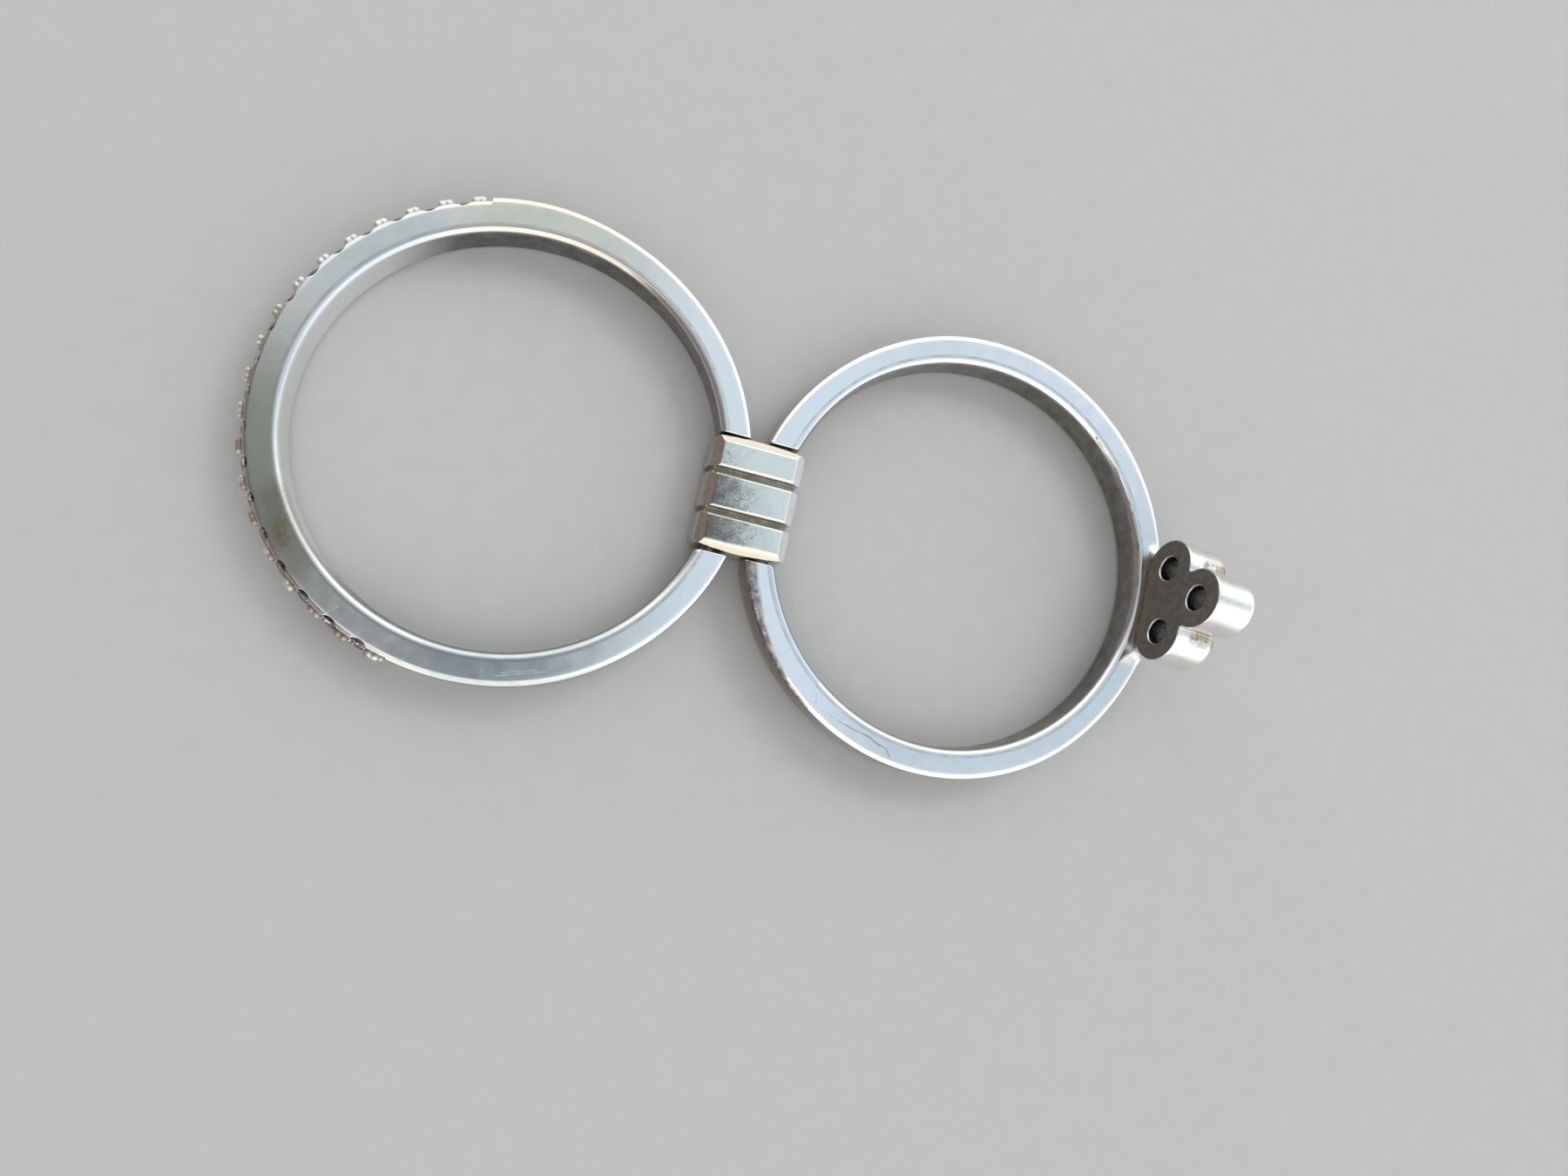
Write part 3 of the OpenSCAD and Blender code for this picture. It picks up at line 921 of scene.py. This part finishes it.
def paint_stone_hoop(m, col):
    # painted light and shade on the inner wall: bright on the far side, dark elsewhere
    lit_far_wall = m.math("MULTIPLY", m.step(m.normal(0), 0.35, 0.80), m.step(m.axis(0), -13.0, -15.5))
    tone = m.mix(lit_far_wall, (0.135, 0.135, 0.14), (0.93, 0.93, 0.92))
    # painted reflections along the flat side, slow changes of tone: cream at the top, bluish to the upper left and dim
    # bluish at the bottom
    top_cream_reflection = m.math("MULTIPLY", m.stroke((-12.0, 9.1, 1.85), (-6.2, 8.2, 1.85), 3.2, 0.7), m.ramp(m.mid, [(0.25, 0.65), (0.6, 1.0)]))
    col = m.mix(top_cream_reflection, col, (0.80, 0.775, 0.70))
    cool_reflection = m.near((-17.2, 6.6, 1.82), 4.2, 0.8)
    col = m.mix(m.math("MULTIPLY", cool_reflection, 0.8), col, (0.70, 0.75, 0.78))
    dim_reflection = m.math("MULTIPLY", m.stroke((-9.5, -9.4, 1.86), (-5.4, -8.1, 1.86), 3.6, 0.8), m.ramp(m.mid, [(0.25, 0.6), (0.6, 1.0)]))
    col = m.mix(dim_reflection, col, (0.585, 0.64, 0.69))
    col = rim_line(m, near_link_sheen(m, wall_shade(m, col, -HOOP_X, PAVE_SLIDE, tone, (0.56, 0.55, 0.53))), -HOOP_X, PAVE_SLIDE)
    # thin tarnish over the part that lies furthest from the link
    flat = m.step(m.math("ABSOLUTE", m.normal(2)), 0.93, 0.99)
    far = m.math("MULTIPLY", m.near((-19.9, -3.6, 1.8), 8.0, 0.80), m.ramp(m.mid, [(0.25, 0.55), (0.6, 0.90)]))
    far = m.math("MULTIPLY", far, m.math("ADD", m.math("MULTIPLY", flat, 0.85), 0.15))
    col = m.mix(far, col, (0.40, 0.41, 0.35))
    spot = m.math("MULTIPLY", join(m, m.stroke((-17.85, -5.65, 1.81), (-17.60, -6.15, 1.81), 0.80, 0.95),
                                   m.math("MULTIPLY", m.stroke((-18.35, -4.60, 1.81), (-16.9, -6.9, 1.81), 1.05, 1.0), 0.55)),
                  m.ramp(m.noise(4.5, 3.0, 0.65), [(0.30, 0.55), (0.62, 1.0)]))
    col = m.mix(m.math("MULTIPLY", spot, 0.93), col, (0.165, 0.135, 0.065))
    warm = m.stroke((-10.2, 8.25, 1.9), (-8.8, 8.70, 1.9), 0.5, 0.9)
    col = m.mix(m.math("MULTIPLY", warm, 0.35), col, (0.70, 0.60, 0.50))
    # dark dents and old scratches near the link
    dent = join(m, m.stroke((4.70 - 0.05, -7.64, 1.95), (4.78, -7.66, 1.95), 0.07, 0.6),
                m.near((-3.9, -6.9, 1.93), 0.06, 0.8))
    light = join(m, m.stroke((-12.9, 9.32, 1.87), (-12.48, 9.1, 1.87), 0.030, 0.6), m.stroke((-12.78, 9.42, 1.87), (-12.36, 9.2, 1.87), 0.025, 0.6),
                 m.stroke((-15.40, -8.64, 1.84), (-14.97, -8.25, 1.84), 0.042, 0.6),
                 m.stroke(stone_hoop_point(280, 9.75, 0.9), stone_hoop_point(292, 9.72, 0.9), 0.030, 0.5),
                 m.stroke(stone_hoop_point(281, 9.62, 0.9), stone_hoop_point(290, 9.60, 0.9), 0.025, 0.5))
    col = m.mix(m.math("MULTIPLY", dent, 0.6), col, (0.16, 0.14, 0.12))
    light = m.math("MULTIPLY", light, m.ramp(m.noise(3.0, 2.0, 0.6), [(0.40, 0.25), (0.60, 1.0)]))
    col = m.mix(m.math("MULTIPLY", light, 0.5), col, (0.97, 0.97, 0.96))
    inner = m.math("MULTIPLY", m.step(m.radial(-HOOP_X, PAVE_SLIDE), 9.1, 8.95), lit_far_wall)
    return col, join(m, spot, dent, m.math("MULTIPLY", light, 0.5), m.math("MULTIPLY", far, 0.5), m.math("MULTIPLY", inner, 1.6))


def paint_prongs(m, col):
    r = m.radial(-HOOP_X, PAVE_SLIDE)
    # painted shade: one bead of a pair is brown, most often towards -Y, the side away from the light
    away_from_light = m.step(m.axis(1), 5.5, -1.0)
    bead_shade = m.math("MULTIPLY", m.math("MULTIPLY", m.ramp(m.noise(1.45, 1.0, 0.4), [(0.48, 0.0), (0.56, 1.0)]), 0.72), away_from_light)
    col = m.mix(bead_shade, col, (0.44, 0.31, 0.22))
    # painted shade, dark brown, low on the beads, strongest on the side away from the light
    low = m.math("MULTIPLY", m.step(r, ROW_R + 0.24, ROW_R + 0.06), m.math("ADD", m.math("MULTIPLY", away_from_light, 0.75), 0.25))
    col = m.mix(m.math("MULTIPLY", low, m.ramp(m.mid, [(0.3, 0.80), (0.65, 0.97)])), col, (0.17, 0.115, 0.085))
    return col, low


def paint_trench_shade(m, col):
    """Painted shade low in the trench under the stones, near black, with some tarnish."""
    r = m.radial(-HOOP_X, PAVE_SLIDE)
    low = m.step(r, ROW_R - 0.02, ROW_R - 0.16)
    mid = m.step(m.math("ABSOLUTE", m.math("SUBTRACT", m.axis(2), LINK_T / 2 - 0.12)), 0.66, 0.58)
    outside = m.step(r, ROW_R - 0.75, ROW_R - 0.68)
    return m.math("MULTIPLY", m.math("MULTIPLY", low, mid), outside)


def paint_stone_band(m, col):
    col, mask = paint_stone_hoop(m, col)
    t = paint_trench_shade(m, col)
    col = m.mix(m.math("MULTIPLY", t, 0.92), col, (0.055, 0.045, 0.04))
    return col, join(m, mask, t)


def paint_lobed(m, col):
    # painted highlight: the flat side is brightest away from the setting
    bright_face = m.near((13.0, 8.6, 1.9), 9.5, 0.5)
    col = m.mix(m.math("MULTIPLY", bright_face, 0.5), col, (0.985, 0.985, 0.985))
    col = rim_line(m, near_link_sheen(m, wall_shade(m, col, HOOP_X, 0.0, (0.22, 0.205, 0.19), (0.56, 0.55, 0.53))), HOOP_X, 0.0)
    # painted reflection: the outer wall beside the link is rosy brown
    nz = m.step(m.math("ABSOLUTE", m.normal(2)), 0.75, 0.25)
    outer = m.step(m.radial(HOOP_X, 0.0), 9.3, 9.6)
    rosy_reflection = m.math("MULTIPLY", m.math("MULTIPLY", m.near((2.9, -4.6, 1.1), 6.0, 0.6), nz), outer)
    col = m.mix(m.math("MULTIPLY", rosy_reflection, 0.92), col, m.mix(m.ramp(m.mid, [(0.35, 0.0), (0.6, 1.0)]), (0.33, 0.245, 0.215), (0.22, 0.19, 0.175)))
    # painted shade: the inner edge is dark towards the far side
    far_rim_shade = None
    pts = [tuple(hoop_to_row([(8.93 * math.cos(math.radians(q)), 8.93 * math.sin(math.radians(q)), 0.88)], 1)[0])
           for q in (4, 16, 28, 40, 52)]
    for a, b in zip(pts[:-1], pts[1:]):
        k = m.stroke(a, b, 0.075, 0.6)
        far_rim_shade = k if far_rim_shade is None else m.math("MAXIMUM", far_rim_shade, k)
    far_rim_shade = m.math("MULTIPLY", far_rim_shade, m.ramp(m.noise(3.2, 3.0, 0.7), [(0.38, 0.0), (0.55, 1.0)]))
    col = m.mix(m.math("MULTIPLY", far_rim_shade, 0.85), col, (0.13, 0.12, 0.11))
    # beside the link the inner rim gets a painted shade, and the outer edge a painted reflection, mottled dark and
    # brown
    def at(q, r):
        x = HOOP_X + r * math.cos(math.radians(q))
        return (x, r * math.sin(math.radians(q)), 2.0 - 0.2 * x / 19.0)

    dim_inner_rim = join(m, *[m.stroke(at(a, 8.90), at(b, 8.90), 0.34, 0.45) for a, b in ((192, 202), (202, 212), (212, 222), (222, 231))])
    dim_inner_rim = m.math("MULTIPLY", dim_inner_rim, m.step(m.radial(HOOP_X, 0.0), 9.12, 9.03))
    col = m.mix(m.math("MULTIPLY", dim_inner_rim, 0.92), col, (0.60, 0.655, 0.73))
    dark_bevel_reflection = join(m, m.stroke(at(195, 9.86), at(203, 9.93), 0.32, 0.6), m.stroke(at(203, 9.93), at(210, 10.05), 0.36, 0.6),
                m.stroke(at(210, 10.05), at(217, 10.12), 0.34, 0.6), m.stroke(at(217, 10.12), at(226, 10.16), 0.26, 0.6),
                m.stroke(at(226, 10.16), at(235, 10.18), 0.17, 0.6))
    dark_bevel_reflection = m.math("MULTIPLY", dark_bevel_reflection, m.ramp(m.noise(3.4, 4.0, 0.75), [(0.34, 0.30), (0.50, 1.0)]))
    reflection_tone = m.mix(m.ramp(m.noise(2.3, 3.0, 0.6), [(0.48, 0.0), (0.60, 1.0)]), (0.11, 0.105, 0.11), (0.42, 0.29, 0.25))
    col = m.mix(m.math("MULTIPLY", dark_bevel_reflection, 0.88), col, reflection_tone)
    # one long thin scratch and a short one beside it
    long = ((4.77, -8.13, 1.93), (5.93, -8.57, 1.93), (6.7, -8.8, 1.93), (7.36, -8.94, 1.93), (7.89, -9.2, 1.93), (8.28, -9.3, 1.93), (8.51, -9.63, 1.93))
    short = ((4.68, -7.55, 1.95), (4.75, -7.87, 1.95), (4.75, -8.02, 1.95))
    thin = join(m, *[m.stroke(a, b, 0.034, 0.9) for a, b in zip(long[:-1], long[1:])],
                *[m.stroke(a, b, 0.028, 0.9) for a, b in zip(short[:-1], short[1:])])
    wide = join(m, *[m.stroke(a, b, 0.050, 0.9) for a, b in zip(long[1:-1], long[2:])])
    scar = join(m, m.math("MULTIPLY", thin, m.ramp(m.noise(6.0, 3.0, 0.6), [(0.30, 0.55), (0.50, 1.0)])),
                m.math("MULTIPLY", wide, m.ramp(m.noise(2.0, 2.0, 0.5), [(0.35, 0.35), (0.60, 0.9)])))
    col = m.mix(m.math("MULTIPLY", scar, 0.86), col, (0.12, 0.12, 0.12))
    # painted shade with some tarnish along the crevice where the setting's foot meets the band
    crevice = join(m, *[m.stroke(setting_point(0.02, y0, 0.05), setting_point(0.02, y1, 0.02), 0.22, 0.9)
                        for y0, y1 in ((-2.2, -1.0), (-1.0, 0.6), (0.6, 2.15))])
    col = m.mix(m.math("MULTIPLY", crevice, m.ramp(m.mid, [(0.25, 0.35), (0.65, 0.8)])), col, (0.33, 0.27, 0.21))
    return col, join(m, far_rim_shade, scar, crevice, m.math("MULTIPLY", dark_bevel_reflection, 0.6))


RIB = (5.1 - 2 * 0.28) / 3


def paint_link(m, col):
    nz, nx, ny = m.normal(2), m.normal(0), m.normal(1)
    top = m.step(nz, 0.80, 0.95)
    x, y = m.axis(0), m.axis(1)
    # rib tops: grey with a green cast, a painted highlight on the right, painted shade, dark and mottled, on the left
    wob = m.math("ADD", m.math("MULTIPLY", m.math("SUBTRACT", m.noise(2.4, 3.0, 0.65), 0.5), 2.6),
                 m.math("MULTIPLY", m.math("SUBTRACT", m.noise(9.5, 4.0, 0.75), 0.5), 3.0))
    wob = m.math("ADD", wob, m.math("MULTIPLY", m.step(y, 0.9, 1.2), 0.95))
    across = m.math("ADD", x, m.math("ADD", m.math("MULTIPLY", y, 0.24), wob))
    across = m.math("MULTIPLY", m.math("ADD", across, 2.0), 0.26)
    shade = m.ramp(across, [(0.06, (0.17, 0.155, 0.135)), (0.34, (0.39, 0.385, 0.345)), (0.55, (0.76, 0.765, 0.70)), (0.88, (0.93, 0.925, 0.85))])
    col = m.mix(top, col, shade)
    # bevels: painted reflections, brown-rosy on the left and olive lower down, white on the right, cream at the two
    # ends
    left_bevel_reflection = m.math("MULTIPLY", m.step(nx, -0.35, -0.62), m.ramp(m.mid, [(0.25, 0.7), (0.65, 1.0)]))
    col = m.mix(m.math("MULTIPLY", left_bevel_reflection, 0.85), col, m.mix(m.step(m.axis(2), 1.85, 2.10), (0.40, 0.375, 0.33), (0.50, 0.37, 0.32)))
    end_bevel_reflection = m.math("MULTIPLY", m.step(m.math("ABSOLUTE", ny), 0.28, 0.55), m.step(m.math("ABSOLUTE", y), 2.2, 2.4))
    col = m.mix(m.math("MULTIPLY", end_bevel_reflection, 0.95), col, m.mix(m.step(ny, -0.2, 0.2), (0.71, 0.66, 0.52), (0.93, 0.885, 0.79)))
    # painted highlight on the right bevel
    right = m.math("MULTIPLY", m.step(nx, 0.35, 0.62), m.step(m.axis(2), 1.45, 1.65))
    col = m.mix(right, col, (0.95, 0.925, 0.955))
    # painted shade: the walls under the bevels are darker
    under_bevel_shade = m.math("MULTIPLY", m.step(m.axis(2), 1.62, 1.42), m.step(nz, 0.5, 0.2))
    col = m.mix(under_bevel_shade, col, m.mix(m.ramp(m.mid, [(0.35, 0.0), (0.65, 1.0)]), (0.46, 0.435, 0.405), (0.60, 0.585, 0.56)))
    # groove floors
    g = m.step(m.math("ABSOLUTE", m.math("SUBTRACT", m.math("ABSOLUTE", y), (RIB + 0.28) / 2)), 0.150, 0.115)
    col = m.mix(m.math("MULTIPLY", g, m.ramp(m.mid, [(0.25, 0.75), (0.6, 0.97)])), col, (0.17, 0.145, 0.10))
    # two small dings with painted glints on their edges
    rag = m.ramp(m.noise(11.0, 3.0, 0.7), [(0.40, 0.0), (0.56, 1.0)])
    pits = m.math("MULTIPLY", join(m, m.near((-0.50, -0.12, 2.2), 0.30, 0.8), m.near((0.13, -0.12, 2.2), 0.26, 0.8)), m.math("SUBTRACT", 1.0, rag))
    col = m.mix(m.math("MULTIPLY", pits, 0.5), col, (0.20, 0.19, 0.17))
    glint = m.math("MULTIPLY", join(m, m.near((-0.54, -0.15, 2.2), 0.16, 0.9), m.near((0.15, -0.09, 2.2), 0.14, 0.9)), rag)
    col = m.mix(m.math("MULTIPLY", glint, 0.9), col, (0.985, 0.985, 0.96))
    return col, join(m, g, pits, m.math("MULTIPLY", left_bevel_reflection, 0.5), m.math("MULTIPLY", right, 1.3))


def setting_axes():
    o = np.array(setting_point(0, 0, 0))
    return [tuple((np.array(setting_point(*d)) - o)) for d in ((1, 0, 0), (0, 1, 0), (0, 0, 1))]


def paint_setting(m, col):
    ax, ay, az = setting_axes()
    o = setting_point(0, 0, 0)
    g = m.t.nodes.new("ShaderNodeNewGeometry")
    tr = m.t.nodes.new("ShaderNodeVectorTransform")
    tr.vector_type = "NORMAL"
    tr.convert_from = "WORLD"
    tr.convert_to = "OBJECT"
    m.link(g.outputs["Normal"], tr.inputs[0])
    out = m.vmath("DOT_PRODUCT", tr.outputs[0], ax)
    depth = m.vmath("DOT_PRODUCT", m.vmath("SUBTRACT", m.mm, o, "Vector"), ax)
    # matt cast back face, mottled
    back = m.step(out, -0.55, -0.90)
    mott = m.ramp(m.noise(3.6, 4.0, 0.68), [(0.36, 0.0), (0.62, 1.0)])
    tone = m.mix(mott, (0.235, 0.222, 0.205), (0.155, 0.143, 0.130))
    col = m.mix(back, col, tone)
    # the rounded foot is brown with old tarnish
    foot = m.math("MULTIPLY", m.stroke(setting_point(0.02, -2.1, 0.10), setting_point(0.02, 2.1, 0.10), 0.55, 0.8),
                  m.ramp(m.mid, [(0.25, 0.55), (0.6, 1.0)]))
    col = m.mix(m.math("MULTIPLY", foot, 0.75), col, (0.33, 0.245, 0.17))
    # the notches between the lobes are darker
    notch = join(m, *[m.stroke(setting_point(a, y, z), setting_point(b, y, z), 0.30, 0.9)
                      for a, b, y, z in ((0.0, 1.9, -1.42, 2.95), (0.0, 1.9, 1.42, 2.95), (0.2, 2.2, 0.0, 0.25))])
    col = m.mix(m.math("MULTIPLY", notch, m.ramp(m.mid, [(0.25, 0.4), (0.65, 0.85)])), col, (0.26, 0.21, 0.17))
    # two spots of old flux on the walls of the lower lobes
    for y, rad, k in ((-1.55, 0.50, 0.95), (1.74, 0.46, 0.90)):
        spot = m.math("MULTIPLY", m.stroke(setting_point(1.05, y, 2.74), setting_point(1.95, y, 2.74), rad, 0.7),
                      m.ramp(m.noise(3.4, 3.0, 0.65), [(0.36, 0.25), (0.58, 1.0)]))
        col = m.mix(m.math("MULTIPLY", spot, k), col, (0.30, 0.235, 0.12))
    # painted shade: inside the bores the metal is near black
    bore = join(m, *[m.stroke(setting_point(0.20, p[0], p[1]), setting_point(1.60, p[0], p[1]), 0.66, 0.10) for p in LOBE_AT])
    bore_shade = m.math("MULTIPLY", bore, m.step(depth, 0.05, 0.16))
    col = m.mix(m.math("MULTIPLY", bore_shade, 0.95), col, (0.030, 0.026, 0.022))
    matt = join(m, m.math("MULTIPLY", back, 1.3), foot, notch)
    return col, matt


def near_link(m):
    """Most scratches are near the link, where the hoops have rubbed."""
    d = m.math("ABSOLUTE", m.axis(0))
    a = m.math("ADD", m.math("MULTIPLY", m.step(d, 11.0, 2.0), 0.75), 0.22)
    return m.math("MULTIPLY", a, m.ramp(m.big, [(0.35, 0.45), (0.6, 1.0)]))


mat_stone_hoop = silver("silver_stone_hoop", where=near_link, paint=paint_stone_band)
mat_prongs = silver("silver_prongs", base=(0.98, 0.98, 0.98), rough=(0.34, 0.46), rows=FEW[:2], scratch=0.3, paint=paint_prongs, wave=0.6)
mat_lobe_hoop = silver("silver_lobed_hoop", where=near_link, paint=paint_lobed)
mat_link = silver("silver_link", rows=MANY, scratch=0.62, rough=(0.14, 0.26), paint=paint_link)
mat_setting = silver("silver_setting", base=(0.955, 0.955, 0.945), rough=(0.20, 0.34), scratch=0.16, paint=paint_setting)
# the pins' dark colour is painted shade, as of the narrow gaps they sit in
mat_pin = silver("silver_pins", base=(0.24, 0.225, 0.21), rough=(0.28, 0.45), scratch=0.3)
set_mat(pave_band, mat_stone_hoop)
set_mat(prongs, mat_prongs)
set_mat(lobe_band, mat_lobe_hoop)
set_mat(link, mat_link)
set_mat(setting, mat_setting)
for n in ("pave_pin", "trefoil_pin"):
    set_mat(nodes[n], mat_pin)

# clear faceted stones; those of the row have a brownish tint, partly a film of dirt and partly painted shade, and
# painted shade in the dark seat under them
dark = Nodes("row_stone")
dark.link(dark.ramp(dark.noise(1.9, 3.0, 0.6), [(0.30, (0.58, 0.50, 0.47)), (0.70, (0.80, 0.74, 0.72))]), dark.bsdf.inputs["Base Color"])
dark.link(dark.ramp(dark.noise(7.0, 3.0, 0.65), [(0.30, 0.015), (0.60, 0.06), (0.75, 0.22)]), dark.bsdf.inputs["Roughness"])
dark.bsdf.inputs["IOR"].default_value = 2.0
dark.bsdf.inputs["Transmission Weight"].default_value = 1.0

gem = Nodes("clear_stone")
gem.link(gem.ramp(gem.noise(1.4, 3.0, 0.6), [(0.30, (0.92, 0.90, 0.92)), (0.70, (0.985, 0.98, 0.985))]), gem.bsdf.inputs["Base Color"])
gem.link(gem.ramp(gem.noise(6.0, 3.0, 0.65), [(0.35, 0.01), (0.62, 0.035), (0.78, 0.14)]), gem.bsdf.inputs["Roughness"])
gem.bsdf.inputs["IOR"].default_value = 2.15
gem.bsdf.inputs["Transmission Weight"].default_value = 1.0
for o in gems:
    set_mat(o, gem)
set_mat(row, dark)

# ---------------------------------------------------------------- floor and light
fm = bpy.data.meshes.new("floor")
fm.from_pydata([(-1.5, -1.5, 0), (1.5, -1.5, 0), (1.5, 1.5, 0), (-1.5, 1.5, 0)], [], [(0, 1, 2, 3)])
floor = bpy.data.objects.new("floor", fm)
scene.collection.objects.link(floor)
flo = Nodes("pale_floor")
flo.bsdf.inputs["Roughness"].default_value = 0.7
flo.link(flo.ramp(flo.noise(0.9, 3.0, 0.6), [(0.3, (0.455, 0.455, 0.455)), (0.7, (0.475, 0.475, 0.472))]), flo.bsdf.inputs["Base Color"])
set_mat(floor, flo)


def area(name, loc, target, size, power, colour=(1, 1, 1)):
    d = bpy.data.lights.new(name, "AREA")
    d.shape = "RECTANGLE"
    d.size, d.size_y = size
    d.energy = power
    d.color = colour
    o = bpy.data.objects.new(name, d)
    scene.collection.objects.link(o)
    o.location = loc
    o.rotation_euler = (Vector(target) - Vector(loc)).to_track_quat("-Z", "Y").to_euler()
    return o


area("key", (0.30, 0.34, 0.42), (0.0, 0.0, 0.0), (0.30, 0.22), 0.9, (1.0, 0.985, 0.955)).visible_glossy = False
area("fill", (-0.45, -0.15, 0.30), (0.0, 0.0, 0.0), (0.30, 0.30), 0.25, (0.97, 0.98, 1.0)).visible_glossy = False

# a bright dome all round, darker and bluer overhead, where the flat sides mirror it
world = bpy.data.worlds.new("studio")
scene.world = world
world.use_nodes = True
wt = world.node_tree
bg = wt.nodes["Background"]
tc = wt.nodes.new("ShaderNodeTexCoord")
sep = wt.nodes.new("ShaderNodeSeparateXYZ")
wt.links.new(tc.outputs["Generated"], sep.inputs[0])


def wmath(op, a, b=None):
    n = wt.nodes.new("ShaderNodeMath")
    n.operation = op
    for i, x in enumerate((a, b)):
        if isinstance(x, (int, float)):
            n.inputs[i].default_value = x
        elif x is not None:
            wt.links.new(x, n.inputs[i])
    return n.outputs[0]


def wramp(fac, stops, mode="LINEAR"):
    n = wt.nodes.new("ShaderNodeValToRGB")
    n.color_ramp.interpolation = mode
    el = n.color_ramp.elements
    while len(el) > 1:
        el.remove(el[-1])
    for i, (p, c) in enumerate(stops):
        e = el[0] if i == 0 else el.new(p)
        e.position = p
        e.color = (*c, 1.0)
    wt.links.new(fac, n.inputs["Fac"])
    return n.outputs["Color"]


def wmix(fac, a, b):
    n = wt.nodes.new("ShaderNodeMix")
    n.data_type = "RGBA"
    wt.links.new(fac, n.inputs[0])
    for x, i in ((a, 6), (b, 7)):
        if isinstance(x, tuple):
            n.inputs[i].default_value = (*x, 1.0)
        else:
            wt.links.new(x, n.inputs[i])
    return n.outputs[2]


def wstep(x, lo, hi):
    n = wt.nodes.new("ShaderNodeMapRange")
    n.interpolation_type = "SMOOTHSTEP"
    n.inputs["From Min"].default_value = min(lo, hi)
    n.inputs["From Max"].default_value = max(lo, hi)
    n.inputs["To Min"].default_value = 0.0 if lo < hi else 1.0
    n.inputs["To Max"].default_value = 1.0 if lo < hi else 0.0
    wt.links.new(x, n.inputs["Value"])
    return n.outputs[0]


def wellipse(cu, cv, ru, rv):
    """Distance from a place overhead, 1 on the ellipse with the given half sizes."""
    a = wmath("DIVIDE", wmath("SUBTRACT", wu, cu), ru)
    b = wmath("DIVIDE", wmath("SUBTRACT", wv, cv), rv)
    return wmath("SQRT", wmath("ADD", wmath("MULTIPLY", a, a), wmath("MULTIPLY", b, b)))


zz = wmath("MAXIMUM", sep.outputs[2], 0.05)
wu, wv = wmath("DIVIDE", sep.outputs[0], zz), wmath("DIVIDE", sep.outputs[1], zz)
flat_h = wmath("MAXIMUM", wmath("SQRT", wmath("ADD", wmath("MULTIPLY", sep.outputs[0], sep.outputs[0]),
                                             wmath("MULTIPLY", sep.outputs[1], sep.outputs[1]))), 0.001)
# the dome: bright from low down, cream to the front and the back, bluish elsewhere
high = wramp(sep.outputs[2], [(0.0, (0.40,) * 3), (0.06, (0.72,) * 3), (0.16, (0.95,) * 3), (0.35, (1.0,) * 3)])
side = wmath("ABSOLUTE", wmath("DIVIDE", sep.outputs[1], flat_h))
tone = wmix(wstep(side, 0.55, 0.90), (0.93, 0.965, 1.0), (1.0, 0.975, 0.925))
dm = wt.nodes.new("ShaderNodeMix")
dm.data_type = "RGBA"
dm.blend_type = "MULTIPLY"
dm.inputs[0].default_value = 1.0
wt.links.new(high, dm.inputs[6])
wt.links.new(tone, dm.inputs[7])
# a warm dark side to the left, as from somebody standing there
toward = wmath("DIVIDE", wmath("ADD", wmath("MULTIPLY", sep.outputs[0], -0.985), wmath("MULTIPLY", sep.outputs[1], -0.174)), flat_h)
low = wmath("MULTIPLY", wstep(toward, 0.62, 0.80), wstep(wmath("DIVIDE", flat_h, zz), 0.44, 0.62))
sky = wmix(low, dm.outputs[2], (0.185, 0.155, 0.14))
# overhead, where the flat sides mirror it
zone = wramp(wmath("MULTIPLY", wmath("ADD", wu, 0.45), 1 / 1.2),
             [(0.10, (0.45, 0.485, 0.485)), (0.27, (0.455, 0.49, 0.49)), (0.40, (0.48, 0.565, 0.64)), (0.88, (0.48, 0.57, 0.66))], "B_SPLINE")
sky = wmix(wstep(wellipse(0.15, 0.21, 0.60, 0.34), 1.02, 1.38), zone, sky)
sky = wmix(wstep(wellipse(-0.34, 0.03, 0.42, 0.21), 1.08, 0.76), sky, (0.225, 0.24, 0.245))
# low over the right, where the cluster's walls mirror it
sky = wmix(wstep(wellipse(1.20, 0.25, 0.45, 0.28), 1.25, 0.75), sky, (0.41, 0.46, 0.51))
wt.links.new(sky, bg.inputs["Color"])
bg.inputs["Strength"].default_value = 1.34
scene.view_settings.view_transform = "Standard"
